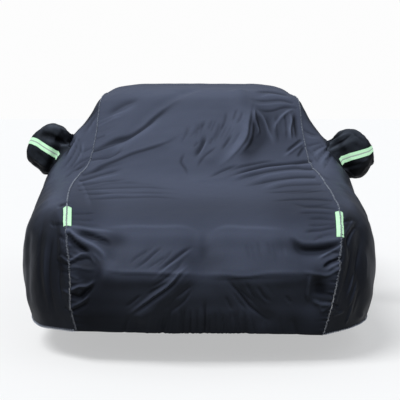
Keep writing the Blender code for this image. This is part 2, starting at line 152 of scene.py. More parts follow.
# the long panel's middle line: behind, height, and how square the panel is across
crown = {
    "hem": (0.100, 0.166, 2.0),
    "below lip": (0.030, 0.300, 2.2),
    "lip": (-0.020, 0.472, 2.4),
    "front face": (0.075, 0.600, 3.0),
    "edge": (0.200, 0.702, 3.0),
    "bonnet front": (0.420, 0.762, 2.6),
    "bonnet": (0.720, 0.805, 2.4),
    "cowl": (1.020, 0.850, 2.4),
    "screen foot": (1.340, 0.990, 2.6),
    "screen": (1.720, 1.205, 3.0),
    "roof edge": (2.060, 1.370, 4.5),
    "roof front": (2.460, 1.446, 9.0),
    "roof": (2.860, 1.457, 9.0),
    "roof tail": (3.260, 1.428, 7.0),
    "glass": (3.620, 1.310, 4.0),
    "boot front": (3.960, 1.150, 3.0),
    "boot": (4.240, 1.050, 3.0),
    "boot edge": (4.460, 0.980, 3.0),
    "tail face": (4.550, 0.790, 3.0),
    "bumper": (4.580, 0.550, 2.4),
    "below bumper": (4.550, 0.340, 2.2),
    "rear hem": (4.490, 0.190, 2.0),
}
lastPlace = len(crown) - 1
planBow = 2.2   # how late the front bows back towards the seams
# between shoulder and seam: place along, and how far out and up from the even curve there
upperLevel = 3.6
upperCurve = {
    -1: ((7, 0.000, 0.000), (8, 0.010, 0.010), (9, 0.052, 0.010), (10, -0.028, -0.032), (11, -0.040, -0.024),
         (12, -0.042, -0.024), (13, -0.036, -0.022), (14, -0.026, -0.016), (15, -0.012, -0.008),
         (16, 0.000, 0.000)),
    1: ((7, 0.000, 0.000), (8, 0.010, 0.010), (9, 0.060, -0.012), (10, -0.034, -0.036), (11, -0.048, -0.022),
        (12, -0.050, -0.022), (13, -0.044, -0.022), (14, -0.030, -0.016), (15, -0.012, -0.008),
        (16, 0.000, 0.000)),
}
shares = (-1.0, -0.93, -0.72, -0.38, 0.0, 0.38, 0.72, 0.93, 1.0)   # the long panel's columns, seam to seam
# each rib runs down the side from a place on the seam to a section along the hem
ribSeam = (0, 4, 8, 13, 17, 21)
ribHem = (0.0, 1.5, 4.0, 9.0, 11.5, 13.0)
# the mouth behind each pocket, along the panel and up its levels
mouthAlong = (8.62, 9.42)
mouthUp = (2.64, 3.52)
# the corner strips: where they start and end, and how much further along their outer edge is
stripAlong = {-1: (3.42, 4.0), 1: (3.2, 4.0)}
stripTilt = {-1: 0.085, 1: 0.11}
stripWidth = 0.050

# broad folds as (across, along) with the seams at -1 and 1, half width, and how far out
mainFolds = {
    "screen fold, left": (((-0.84, 8.15), (-0.50, 9.3), (-0.10, 10.3)), 0.050, -0.014),
    "screen fold, right": (((0.42, 10.2), (0.40, 9.2), (0.30, 8.5), (0.10, 7.9)), 0.055, 0.016),
    "screen hollow, right": (((0.66, 9.9), (0.62, 9.1), (0.56, 8.5)), 0.090, -0.018),
    "cowl fan, right": (((0.84, 7.6), (0.40, 7.3), (0.02, 7.15)), 0.045, 0.010),
    "screen fan, left": (((-0.88, 7.7), (-0.60, 8.1), (-0.35, 8.3)), 0.045, 0.010),
    "front dip": (((0.02, 3.2), (0.02, 2.2)), 0.070, -0.014),
    "front lobe, left": (((-0.55, 2.9), (-0.15, 2.9)), 0.075, 0.010),
    "front lobe, right": (((0.18, 2.9), (0.62, 2.9)), 0.075, 0.010),
    "lip": (((-0.72, 2.0), (0.80, 2.0)), 0.045, 0.012),
    "corner hollow, left": (((-0.93, 2.75), (-0.72, 2.45)), 0.050, -0.022),
    "corner cone, left": (((-0.97, 3.2), (-0.85, 2.8), (-0.70, 2.2)), 0.040, 0.014),
    "corner hollow, right": (((0.60, 2.95), (0.92, 2.80)), 0.050, -0.022),
    "box hollow, right": (((0.84, 1.75), (0.86, 1.1)), 0.060, -0.018),
    "slant below the lip, left": (((-0.12, 1.95), (-0.45, 0.7)), 0.040, 0.010),
    "slant below the lip, right": (((0.20, 1.9), (0.50, 0.6)), 0.040, -0.008),
}
sideMainFolds = {
    "flank, left": (((-1.35, 5.0), (-1.75, 4.2)), 0.050, -0.010),
    "flank, right": (((1.30, 4.6), (1.50, 3.6), (1.80, 3.0)), 0.050, -0.012),
    "shoulder, right": (((1.18, 7.6), (1.30, 6.2)), 0.060, 0.010),
}


def smooth(points, places):
    # a smooth curve through points, read at places counted in points
    points = np.asarray(points, float)
    first = 2 * points[0] - points[1]
    final = 2 * points[-1] - points[-2]
    chain = np.concatenate([first[None], points, final[None]])
    steps = np.diff(chain, axis=0)
    lengths = np.linalg.norm(steps, axis=-1, keepdims=True) + 1e-9
    slopes = steps / lengths
    turns = (slopes[:-1] * lengths[1:] + slopes[1:] * lengths[:-1]) / (lengths[1:] + lengths[:-1])
    places = np.asarray(places, float)
    start = np.clip(np.floor(places).astype(int), 0, len(points) - 2)
    share = (places - start).reshape((-1,) + (1,) * (points.ndim - 1))
    ease = eased(share)
    straight = points[start] * (1 - ease) + points[start + 1] * ease
    leave = share * (1 - share) ** 2 * turns[start]
    arrive = share * share * (share - 1) * turns[start + 1]
    return straight + lengths[1:-1][start] * (leave + arrive)


def sideRibs(sign):
    # ribs run down each side from a place on the seam to a place along the hem
    table = np.array(list(sideSections.values()))
    if sign > 0:
        for (section, level), (out, height) in rightDiffers.items():
            table[list(sideSections).index(section), levels.index(level)] += (out, 0, height)
    table[..., 0] *= sign
    ribs = []
    for place in range(lastPlace + 1):
        up = min(place, topLevel, lastPlace - place)
        section = min(max(place - topLevel, 0), len(table) - 1)
        foot = np.interp(place, ribSeam, ribHem)
        rib = []
        for share in np.linspace(0, 1, topLevel + 1):
            across = smooth(table, [foot + (section - foot) * share])[0]
            rib.append(smooth(across, [up * share])[0])
        ribs.append(rib)
    return np.array(ribs)


def coverCage():
    middle = np.array(list(crown.values()))
    ribs = {sign: sideRibs(sign) for sign in (-1, 1)}
    columns = list(np.swapaxes(ribs[-1], 0, 1)[:-1])
    for share in shares:
        seam = ribs[1 if share > 0 else -1][:, topLevel]
        far = abs(share)
        behind = middle[:, 0] + (seam[:, 1] - middle[:, 0]) * far**planBow
        height = middle[:, 1] + (seam[:, 2] - middle[:, 1]) * far ** middle[:, 2]
        columns.append(np.stack([seam[:, 0] * far, behind, height], axis=-1))
    columns.extend(np.swapaxes(ribs[1], 0, 1)[:-1][::-1])
    uppers = smooth(columns, (upperLevel, len(columns) - 1 - upperLevel))
    for upper, sign in zip(uppers, (-1, 1)):
        places, out, up = np.array(upperCurve[sign]).T
        upper[:, 0] += sign * np.interp(range(lastPlace + 1), places, out)
        upper[:, 2] += np.interp(range(lastPlace + 1), places, up)
    columns.insert(len(columns) - topLevel, uppers[1])
    columns.insert(topLevel, uppers[0])
    return np.stack(columns, axis=1) - np.array((0.0, mountBehind, -ground))


cage = coverCage()


def coverGrid(across, along):
    # points [along, across] of the cover: the hems are at -2 and 2, the seams at -1 and 1
    shoulder, upper = 2 - (topLevel - 1) / topLevel, 2 - upperLevel / topLevel
    inner = range(topLevel, topLevel + len(shares) + 2)
    columns = np.interp(across, (-2, -shoulder, -upper, *shares, upper, shoulder, 2),
                        (0, topLevel - 1, *inner, inner[-1] + 1, inner[-1] + topLevel))
    rows = smooth(cage, along)
    return np.swapaxes(smooth(np.swapaxes(rows, 0, 1), columns), 0, 1)


def lengthAlong(line):
    return np.concatenate([[0], np.cumsum(np.linalg.norm(np.diff(line, axis=0), axis=-1))])


def lengthAcross(grid):
    steps = np.linalg.norm(np.diff(grid, axis=1), axis=-1)
    return np.pad(np.cumsum(steps, axis=1), ((0, 0), (1, 0)))


def along3(line, run, stops):
    return np.stack([np.interp(stops, run, line[:, k]) for k in range(3)], axis=-1)


def facing(grid):
    out = np.cross(np.gradient(grid, axis=1), np.gradient(grid, axis=0))
    return out / (np.linalg.norm(out, axis=-1, keepdims=True) + 1e-12)


# mesh lines: fine at the front, coarser behind
meshSize = {
    "frontStep": 0.0078,
    "rearStep": 0.030,
    "fineTo": 10.9,         # place along
    "change": 0.5,          # metres over which the step grows
    "acrossStep": 0.0080,
    "sideStep": 0.0105,
}


def meshRows():
    fine = np.linspace(0, lastPlace, 4201)
    run = lengthAlong(coverGrid([0.0], fine)[:, 0])
    fineEnd = np.interp(meshSize["fineTo"], fine, run)
    front, rear = meshSize["frontStep"], meshSize["rearStep"]
    stops = [0.0]
    while stops[-1] < run[-1]:
        past = min(max((stops[-1] - fineEnd) / meshSize["change"], 0), 1)
        stops.append(stops[-1] + front + (rear - front) * past)
    places = np.interp(np.array(stops) * run[-1] / stops[-1], run, fine)
    for wanted in (*mouthAlong, *stripAlong[-1], *stripAlong[1]):
        places[nearest(places, wanted)] = wanted
    return places


def evenColumns(start, end, along, step, keep=()):
    fine = np.linspace(start, end, 801)
    run = lengthAlong(coverGrid(fine, [along])[0])
    count = int(run[-1] / step)
    places = np.interp(np.linspace(0, run[-1], count + 1), run, fine)
    for wanted in keep:
        places[nearest(places, wanted)] = wanted
    return places


alongRows = meshRows()
middleColumns = evenColumns(-1, 1, 6.5, meshSize["acrossStep"])
mouthColumns = {sign: [sign * (2 - level / topLevel) for level in mouthUp] for sign in (-1, 1)}
sideColumns = {
    -1: evenColumns(-2, -1, 8.0, meshSize["sideStep"], mouthColumns[-1]),
    1: evenColumns(1, 2, 8.0, meshSize["sideStep"], mouthColumns[1]),
}
print("mesh lines", len(alongRows), len(middleColumns), len(sideColumns[1]))


# folds
# Each crease is how far it stands out in mm, its half width on the left and on the right of its run, its
# strength at its start and end, and its points in the picture. Widths and points are in pixels, and left and
# right are as seen going along it.
def crease(rise, left, right, start, end, *path):
    return {"rise": rise, "left": left, "right": right, "start": start, "end": end, "path": path}


screenCreases = {
    "long trough": crease(-9.5, 2.0, 4.4, 0.4, 0.1, (94, 151), (114, 140), (131, 133), (143, 125.5),
                          (156, 115), (168, 107), (183, 99)),
    "ridge below it": crease(4, 2.5, 5, 0.2, 0.0, (104, 149), (131, 138.5), (150, 127), (165, 114)),
    "second trough": crease(-7, 1.4, 2.8, 0.6, 0.0, (84, 174), (99, 168), (114, 162), (136, 153.5),
                            (146, 150.5), (162, 145.5), (174, 139), (184, 133.5)),
    "third trough": crease(-4.5, 2, 2, 0.8, 0, (93, 159.5), (108, 155.5), (125, 149)),
    "top smudge": crease(-5, 4, 2.5, 0.3, 0, (108, 114), (124, 104.5), (142, 98.5)),
    "top smudge ridge": crease(3, 2, 3, 0, 0, (107, 120), (122, 113), (140, 104)),
    "short by the seam": crease(-3, 1.3, 1.3, 1, 0, (96, 139), (106, 134.5)),
    "wedge": crease(-8, 1.6, 3.4, 0, 0.1, (206, 134), (202.5, 145), (194.5, 158)),
    "wedge lip": crease(4, 2.0, 1.6, 0, 0, (207.5, 140), (200.5, 153), (197, 158)),
    "flick, high right": crease(-4, 1.4, 1.8, 0, 0, (227, 111), (225, 121), (220.8, 131.5)),
    "flick, high middle": crease(-4, 1.4, 1.4, 0, 0, (237, 109), (234.5, 117), (232.5, 124)),
    "flick, by the edge": crease(-3.5, 1.4, 1.4, 0, 0, (243, 112), (240, 121), (235.5, 127)),
    "flick, low right": crease(-5, 1.4, 1.8, 0, 0, (232.6, 135.5), (228, 143), (220.8, 153.5)),
    "hook, low middle": crease(-5, 1.6, 1.6, 0, 0, (218, 147.5), (204.7, 156.3), (199.5, 163),
                               (197.4, 169.5)),
    "hook, low left": crease(-5, 1.5, 1.5, 0, 0, (185.6, 152), (181.2, 161), (185.6, 168), (188.6, 175.5)),
    "flick, middle": crease(-2.5, 1.6, 1.6, 0, 0, (204.7, 122.5), (197.4, 131.5)),
    "dash, middle": crease(-3, 1.3, 1.3, 0, 0, (213, 137), (209, 146)),
    "dash, centre left": crease(-3, 1.3, 1.3, 0, 0, (199, 141), (193, 148)),
    # the deep fold right of the middle, whose right flank drops into a hollow
    "deep edge": crease(7, 1.5, 9, 0.2, 0.0, (252, 101), (251, 112), (249, 123), (247, 136), (240, 147.5),
                        (228, 159.5), (213, 169.5)),
    "hollow beside it": crease(-9, 15, 2.2, 0.1, 0.0, (257, 104), (256, 120), (254, 136), (247, 149),
                               (234, 160)),
    "hollow, inner ridge": crease(8, 2.2, 2.2, 0, 0, (254.6, 104), (256, 118), (259, 128.4), (254, 136)),
    "hollow, long ridge": crease(7, 1.8, 2.0, 0.2, 0, (256, 106), (264.8, 117), (269.2, 130), (275.1, 146)),
    "hollow, arch": crease(9, 2.0, 2.6, 0, 0.3, (275, 131), (276.6, 122.5), (285.4, 113.7), (293, 109)),
    "hollow, inner arch": crease(8, 2.2, 1.4, 0, 0, (289, 112), (291.2, 119.6), (290, 129), (291.2, 142)),
    "hollow, seam side": crease(-6.5, 2.2, 1.6, 0.2, 0.2, (295, 113), (296, 124), (297.5, 139)),
    "hollow, foot": crease(-6, 1.6, 1.6, 0.8, 0, (301, 140), (293, 146.5), (285, 153.5)),
    "hollow, foot ridge": crease(5, 1.8, 1.8, 0.6, 0, (302, 143.5), (292, 151), (282, 158)),
    "hollow, second foot": crease(-5, 1.5, 1.5, 0.8, 0, (304, 148), (297, 158)),
    "corner fold, top": crease(-6, 1.2, 1.6, 0.2, 0.5, (255, 92), (270, 91.5), (286, 94.5)),
    "corner fold, next": crease(-4.5, 1.2, 1.6, 0.2, 0.6, (252, 99.5), (270, 98.5), (281, 99.5),
                                (292.5, 103)),
    "corner fold, low": crease(-4.5, 1.3, 1.8, 0.1, 0.6, (257, 107), (274, 108.5), (286, 107), (296, 108)),
    "corner ridge": crease(3.5, 1.6, 1.6, 0.2, 0.5, (253, 103.5), (272, 103), (293, 105)),
    "corner ridge, top": crease(4, 1.4, 1.4, 0.2, 0.5, (258, 95.5), (276, 95), (290, 98.5)),
}
cowlCreases = {
    "fan 1": crease(-8, 1.5, 1.9, 0.8, 0.0, (311, 161), (285.4, 163.6), (263.4, 166.5), (241.4, 172.4),
                    (220.8, 181.5)),
    "fan 1 ridge": crease(4.5, 1.6, 1.6, 0.8, 0.0, (311, 164.5), (286, 166.8), (264, 170), (243, 176),
                          (228, 182)),
    "fan 2": crease(-6, 1.5, 1.7, 0.9, 0.0, (312, 168), (292.7, 168.6), (270.7, 172), (245.8, 177.8),
                    (228.2, 183.5)),
    "fan 2 ridge": crease(4, 1.5, 1.5, 0.8, 0.0, (313, 171.5), (293, 172.3), (270, 176), (250, 181)),
    "fan 3": crease(-6.5, 1.6, 1.9, 0.9, 0.0, (314, 176.5), (300, 176.4), (278, 179), (256, 183.3),
                    (240, 187.5)),
    "fan 3 ridge": crease(4, 1.5, 1.6, 0.8, 0.0, (315, 180), (297, 180.5), (275, 184), (258, 189)),
    "fan 4": crease(-4.5, 1.5, 2, 0.9, 0.0, (320, 183), (308.8, 183.3), (285.4, 185), (263.4, 190.5)),
    "fan upper": crease(-5, 1.6, 1.6, 0.2, 0.0, (276, 161), (262, 162), (248.7, 164.5), (226.7, 171.5)),
    "fan upper left": crease(-5, 1.5, 1.5, 0.0, 0.0, (240, 164.5), (220.8, 171), (207, 178.8)),
    "left foot 1": crease(-5, 1.6, 1.6, 0.9, 0, (81, 181), (102, 174), (126, 167.5)),
    "left foot 1 ridge": crease(3.5, 1.6, 1.6, 0.9, 0, (80, 184.5), (102, 178.5), (126, 172.5)),
    "left foot 2": crease(-3.5, 1.4, 1.4, 0.8, 0, (79, 186), (104, 182), (132, 179)),
    "left foot 3": crease(-3.5, 1.2, 1.2, 0.8, 0, (80, 190.5), (110, 188.5), (152, 187.5), (184, 189.5)),
    "left foot 4": crease(-3.0, 1.1, 1.1, 0.7, 0, (84, 194.5), (118, 193), (160, 192.5), (186, 194)),
    "left foot 5": crease(-3.5, 1.2, 1.2, 0.5, 0, (88, 199), (120, 197.5), (166, 197), (190, 199.5)),
    "left foot 6": crease(2.4, 1.3, 1.3, 0.4, 0, (90, 196.5), (125, 195), (160, 195)),
    "patch edge": crease(3.0, 1.0, 3.5, 0.4, 0.2, (82, 183), (87, 194), (92, 206)),
    "right wrinkle 1": crease(-3, 1.3, 1.3, 0, 0.6, (262, 193), (285, 191), (310, 190.5), (327, 191)),
    "right wrinkle 2": crease(-3.5, 1.3, 1.3, 0, 0.6, (268, 203), (285, 200.3), (310, 199.2), (332, 200)),
    "right wrinkle 3": crease(-3, 1.3, 1.3, 0, 0.6, (300, 207), (318, 206), (336, 208)),
    "right wrinkle 4": crease(-3, 1.3, 1.3, 0, 0.6, (296, 213), (316, 212), (334, 213)),
    "strip wrinkle 1": crease(-3.5, 1.2, 1.4, 0, 0.8, (306, 218), (320, 217.3), (334, 218.7)),
    "strip wrinkle 2": crease(-3.5, 1.2, 1.4, 0, 0.8, (306, 224.5), (320, 224.2), (335, 223.3)),
    "strip wrinkle 3": crease(-5, 1.4, 1.8, 0, 0.8, (302, 232), (312, 230), (321, 229.4), (335, 226.5)),
    "strip wrinkle 4": crease(-3.5, 1.3, 1.3, 0, 0.3, (312, 241), (320, 236.5), (333, 233.5)),
    "left strip wrinkle 1": crease(-2.5, 1.1, 1.1, 0.8, 0, (73, 213.5), (85, 213), (98, 212)),
    "left strip wrinkle 2": crease(-2.5, 1.1, 1.1, 0.8, 0, (73, 219), (84, 220), (97, 219.5)),
    "left strip wrinkle 3": crease(-2.5, 1.1, 1.1, 0.8, 0, (73, 223.5), (86, 225), (103, 226.5)),
}
frontCreases = {
    "edge left": crease(3, 2.5, 2.5, 0.1, 0.1, (98, 229), (125, 227.5), (160, 227.3), (192, 229),
                        (203, 235)),
    "edge right": crease(3, 2.5, 2.5, 0.1, 0.1, (208, 234), (218, 228.5), (250, 227.5), (290, 229.5)),
    "middle dip": crease(-3, 6, 6, 0.2, 0.0, (204, 229), (204, 241), (203, 262)),
    # the left corner: a cone that springs from the strip's foot, between two dark hollows
    "corner ridge line": crease(6, 1.6, 1.8, 1, 0, (72.5, 227), (88.7, 229.8), (102, 231.3), (118, 233.5)),
    "upper hollow": crease(-15, 3.0, 3.6, 0.1, 0.0, (76, 231.6), (91.6, 236), (103, 240.5), (112.5, 246.5)),
    "upper hollow crease": crease(4, 1.0, 1.0, 0, 0, (91, 240.2), (102, 241.6), (108, 247)),
    "cone": crease(13, 2.2, 4.0, 0.7, 0.1, (69.6, 231.5), (76.3, 237), (85, 242), (96.4, 248), (104, 255),
                   (107, 263)),
    "lower hollow": crease(-17, 2.4, 3.4, 0.8, 0.1, (69, 236), (74.5, 243), (82, 248.3), (90.5, 252.5)),
    "lower fold": crease(8, 1.6, 1.8, 1, 0.2, (70.5, 260), (76.3, 256.2), (81, 253.4), (88.7, 252.6)),
    "lower fold shade": crease(-7, 1.4, 3.0, 0.9, 0.1, (71, 264), (78, 260.5), (86, 258), (93, 259)),
    "streak 1": crease(4, 1.0, 1.0, 0, 0, (88.7, 255.5), (93, 260), (97, 266)),
    "streak 2": crease(4, 1.0, 1.0, 0, 0, (92.5, 252.5), (97.5, 257.5), (101.5, 263)),
    "lower line": crease(5, 1.4, 1.6, 0.9, 0, (70.5, 264.9), (79, 267), (87, 269.5), (98, 269.7)),
    "short crease": crease(4, 1.2, 1.4, 1, 0, (71.5, 276.2), (80.5, 279.2)),
    "slanting ridge": crease(9, 1.5, 2.2, 1, 0, (72.0, 289.5), (79, 286), (87.7, 285.4), (97, 278.5)),
    "slanting hollow": crease(-12, 2.6, 2.4, 0.6, 0, (72.4, 295), (80, 297.5), (87.5, 291), (95, 284)),
    "lowest ridge": crease(7, 1.4, 2.0, 1, 0, (71.5, 306), (79, 302.9), (91, 294)),
    "lowest shade": crease(-6, 1.2, 2.4, 0.8, 0, (72.5, 310), (80, 307.2), (89, 301)),
    "lip left": crease(2.5, 2.0, 1.2, 0.2, 0.3, (101, 268), (113.6, 271.3), (140, 272.5), (170, 273.2),
                       (200, 274.2)),
    "below lip left": crease(-2.2, 1.0, 5, 0.1, 0.3, (101, 269), (113.6, 273), (150, 275.3), (200, 277.2)),
    "lip right": crease(2.5, 2.0, 1.2, 0.3, 0.3, (200, 274.2), (228, 275), (240, 276.5), (268.9, 273.2),
                        (309, 272.7)),
    "below lip right": crease(-2.2, 1.0, 5, 0.3, 0.3, (200, 278.2), (228, 279), (269, 277.2), (309, 276.5)),
    "lip far right": crease(6, 2.2, 1.2, 0.4, 0.8, (305, 272.7), (316, 274.5), (327.4, 275.6),
                            (338.5, 268.5)),
    # slanting creases left of the middle
    "slant 1": crease(-7, 1.2, 1.6, 0.1, 0.1, (193.5, 245), (180, 255), (165.5, 266.3), (156, 274.5)),
    "slant 1 ridge": crease(4, 1.3, 1.5, 0, 0, (194, 248), (182, 258), (168, 268.5), (160, 275)),
    "slant 2": crease(-4.5, 1.1, 1.2, 0, 0, (164.5, 248), (155.7, 253.1), (146, 261.7), (132.5, 271.5)),
    "slant 3": crease(-3.5, 1.0, 1.1, 0, 0, (151, 248.3), (144, 254.1), (136.5, 259), (129, 266)),
    "slant 4": crease(-3.5, 1.0, 1.1, 0, 0, (167.5, 256), (155.7, 263.7), (145, 270.6)),
    "slant 5": crease(-4.5, 1.1, 1.2, 0, 0, (186, 258.5), (173, 271.3), (155.5, 285), (148, 288.5)),
    "slant 6": crease(9, 1.2, 1.6, 0, 0.1, (189.5, 264), (178.6, 275), (168, 285.5), (155.7, 294),
                      (141.3, 304.6), (128, 315)),
    "slant 6 shade": crease(-6, 1.2, 2.2, 0, 0, (186, 271.5), (170, 288), (157, 297.5), (142.5, 308),
                            (131, 316.5)),
    "slant 7": crease(-4, 1.1, 1.1, 0, 0, (171.5, 280), (155.7, 289.5), (145.5, 296.5)),
    "slant 8": crease(-3.5, 1.1, 1.1, 0, 0, (142, 294), (133.7, 301), (124.5, 308)),
    "slant 9": crease(-4, 1.1, 1.3, 0, 0, (192.5, 289), (184.4, 301), (176, 308), (168.5, 314)),
    "slant 10": crease(-3.5, 1.1, 1.1, 0, 0, (190.5, 286), (183, 293), (175, 298.5)),
    "slant 11": crease(-3, 1.0, 1.0, 0, 0, (183, 263), (172, 274), (163, 281)),
    "slant 12": crease(3, 1.0, 1.0, 0, 0, (178, 259), (168, 267.5), (158, 276.5), (150, 282)),
    # and right of it
    "fall 1": crease(-7, 1.5, 1.2, 0.2, 0, (227.5, 280), (234.4, 287.6), (243.6, 299), (249.4, 306),
                     (257.4, 312.8), (272, 324)),
    "fall 1 ridge": crease(3.5, 1.2, 1.2, 0, 0, (231, 281.5), (238, 289.5), (247, 300), (254, 308),
                           (264, 315.5)),
    "fall 2": crease(-5, 1.2, 1.2, 0, 0, (245.5, 281), (250.5, 291), (257.8, 303)),
    "fall 3": crease(-4.5, 1.2, 1.2, 0, 0, (257, 285), (264.3, 296.8), (271.5, 303)),
    "fall 4": crease(-4, 1.2, 1.2, 0, 0, (238, 287.5), (246, 296), (255.5, 304)),
    "fall 5": crease(-3, 1.2, 1.2, 0, 0, (285, 295), (292, 304)),
    "fall 6": crease(-3.5, 1.2, 1.2, 0, 0, (225, 295), (229, 304), (234, 312.5)),
    "fall 7": crease(-3.5, 1.1, 1.1, 0, 0, (232, 291), (240, 303), (249, 313)),
    # the right corner
    "right eave": crease(4.5, 3.0, 1.4, 0.2, 0.8, (294, 236.5), (301, 241.5), (312, 242.5), (325, 241.5),
                         (338, 239.5)),
    "right hollow": crease(-11, 2.4, 5.0, 0.4, 0.5, (294, 240), (301, 246.5), (314.5, 248), (328, 246.5),
                           (338, 244)),
    "right fold": crease(9, 1.8, 2.2, 0.1, 0.9, (318, 258.5), (326, 253.5), (332, 250), (340, 246.5)),
    "right second dip": crease(-12, 1.6, 2.6, 0.1, 0.9, (323, 268), (331, 262), (339.5, 258.5)),
    "right fold lower": crease(6, 1.4, 1.6, 0, 0.9, (326, 271), (333, 266), (339, 263)),
    "box hollow": crease(-10, 8, 8, 0.6, 0.2, (320, 284), (321, 291), (321, 298)),
    "box left edge": crease(7, 4, 1.4, 0.3, 0.0, (309.5, 275.5), (308.4, 288), (308, 298), (311, 305)),
    "box foot": crease(7, 1.6, 3.5, 0.1, 0.9, (313, 301), (320, 304.5), (329, 304)),
    "foot crease 1": crease(5, 1.1, 1.4, 0, 0, (319.5, 306), (324, 314.5)),
    "foot crease 2": crease(4, 1.1, 1.4, 0, 0.6, (322, 311), (329.5, 307)),
}
sideCreases = {
    "left pillar 1": crease(-4, 1.4, 1.4, 0, 0.6, (80, 129), (88, 120), (98, 108.5)),
    "left root 1": crease(-5, 1.2, 1.4, 0.8, 0, (75.5, 137), (70, 147), (62.5, 158)),
    "left root 1 ridge": crease(4, 1.2, 1.4, 0.8, 0, (77, 138), (72.5, 147.5), (66, 158)),
    "left root 2": crease(-4.5, 1.2, 1.4, 0.7, 0, (78, 139), (75, 150), (68, 161), (60, 170)),
    "left root 3": crease(-4.5, 1.1, 1.4, 0.6, 0, (82, 141), (80, 152), (73, 163), (64, 173)),
    "left root 3 ridge": crease(3.5, 1.2, 1.3, 0.6, 0, (84, 142), (81.5, 154), (75, 165)),
    "left root 4": crease(-4, 1.2, 1.5, 0.2, 0.8, (70, 170), (78, 163), (90, 157.5)),
    "left root 5": crease(-3.5, 1.1, 1.3, 0.1, 0.8, (64, 180), (72, 171), (86, 164.5)),
    "left pillar 4": crease(-3.5, 1.2, 1.4, 0.2, 0.2, (84, 133), (90, 124), (97, 113)),
    "left pillar 5": crease(3, 1.2, 1.4, 0.2, 0.2, (86, 136), (92, 126), (97.5, 117)),
    "left pillar 2": crease(-3, 1.2, 1.2, 0, 0.6, (79, 154), (86, 150.5), (93, 147)),
    "left pillar 3": crease(-4, 1.4, 1.4, 0, 0.7, (74, 172), (82, 165), (90, 160)),
    "left shoulder 1": crease(-4, 1.2, 1.4, 0, 0.9, (56, 207), (62, 204.6), (68.6, 203)),
    "left shoulder 2": crease(-4, 1.3, 1.6, 0, 0.9, (48, 222), (55, 224.5), (62, 224)),
    "left shoulder 3": crease(-5, 1.3, 1.6, 0, 0.9, (57, 234.5), (62, 238), (66, 241)),
    "left flank 1": crease(5, 1.2, 1.4, 0, 1, (58, 254.5), (62, 256.5), (68, 261)),
    "left flank 2": crease(-4, 1.3, 1.3, 0, 1, (55, 260), (61, 263), (68.5, 265)),
    "left long 1": crease(-3, 3, 2, 0.1, 0.3, (44, 214), (39.5, 240), (39, 270), (43, 300)),
    "left long 2": crease(-2.5, 2, 2.5, 0.1, 0.3, (53, 232), (49, 256), (49.5, 284), (55, 312)),
    "left long 3": crease(2, 2, 2, 0.1, 0.3, (48, 228), (44, 252), (44.5, 280), (49, 309)),
    "left long 4": crease(-2.5, 1.6, 1.6, 0, 0.2, (62, 262), (60, 280), (63, 302)),
    "left low 1": crease(4, 1.2, 1.4, 0, 1, (62, 290), (66, 291), (70, 294)),
    "right pillar 1": crease(-3, 1.3, 1.3, 0.6, 0, (306, 148), (313, 155), (319, 164)),
    "right root 1": crease(-5.5, 1.3, 1.6, 0.8, 0.1, (324, 145), (317, 148.5), (311, 153)),
    "right root 1 ridge": crease(4, 1.3, 1.5, 0.8, 0.1, (325.5, 148), (318.5, 152.5), (312, 158)),
    "right root 2": crease(-4.5, 1.2, 1.5, 0.8, 0, (327, 150), (321, 155.5), (315, 163)),
    "right root 2 ridge": crease(4, 1.2, 1.5, 0.7, 0, (329, 153.5), (324, 159), (319, 166)),
    "right root 3": crease(-4, 1.2, 1.5, 0.8, 0, (331, 157), (327, 163), (323, 170)),
    "right root 4": crease(-4.5, 1.2, 1.4, 0.7, 0, (322, 142), (313, 144), (305, 147.5)),
    "right root 5": crease(-4, 1.2, 1.3, 0.4, 0, (318, 134.5), (311, 133), (303.5, 128)),
    "right root 5 ridge": crease(3.5, 1.2, 1.3, 0.4, 0, (319, 138), (311.5, 138), (304.5, 134)),
    "right pillar 2": crease(-3, 1.3, 1.3, 0.6, 0, (317, 170), (324, 176), (333, 181)),
    "right shoulder line": crease(-6, 1.4, 3.0, 0.2, 0.2, (361, 220.5), (355, 228), (348.5, 240.5),
                                  (345.8, 250)),
    "right shoulder fold": crease(4, 2, 1.4, 0.1, 0.2, (357, 219), (350, 227.5), (345.5, 236)),
    "right strip wrinkle": crease(-4, 1.2, 1.4, 0.9, 0, (345, 221), (352, 219.5), (359, 219.8)),
    "right long 1": crease(6, 0.9, 1.3, 0, 0, (356.5, 268), (351.5, 282), (344.5, 301)),
    "right long 2": crease(7, 0.9, 1.3, 0, 0, (359, 279), (353.8, 293.3), (347.8, 308)),
    "right long 3": crease(6, 0.9, 1.3, 0, 0.1, (353, 304), (349.2, 314), (345, 325)),
    "right long 4": crease(-3, 1.6, 1.6, 0.1, 0.1, (362, 240), (358, 262), (351, 287)),
    "right long 5": crease(2.5, 1.2, 1.2, 0.1, 0.1, (365.5, 249), (367, 266), (366, 283)),
    "right long 6": crease(-2.5, 1.8, 1.8, 0.1, 0.1, (352, 247), (348, 268), (342, 290)),
    "right long 7": crease(-3, 1.6, 1.8, 0, 0.2, (362, 287), (357, 302), (352, 318)),
    "right low 1": crease(6, 1.2, 1.6, 0.9, 0, (332.5, 309.5), (338, 312), (344, 310.5)),
    "right low 2": crease(-5, 1.2, 1.6, 0.9, 0, (333, 303.5), (338, 306.5)),
    "right low 3": crease(4, 1.2, 1.6, 0, 0, (365, 313), (360, 319)),
}

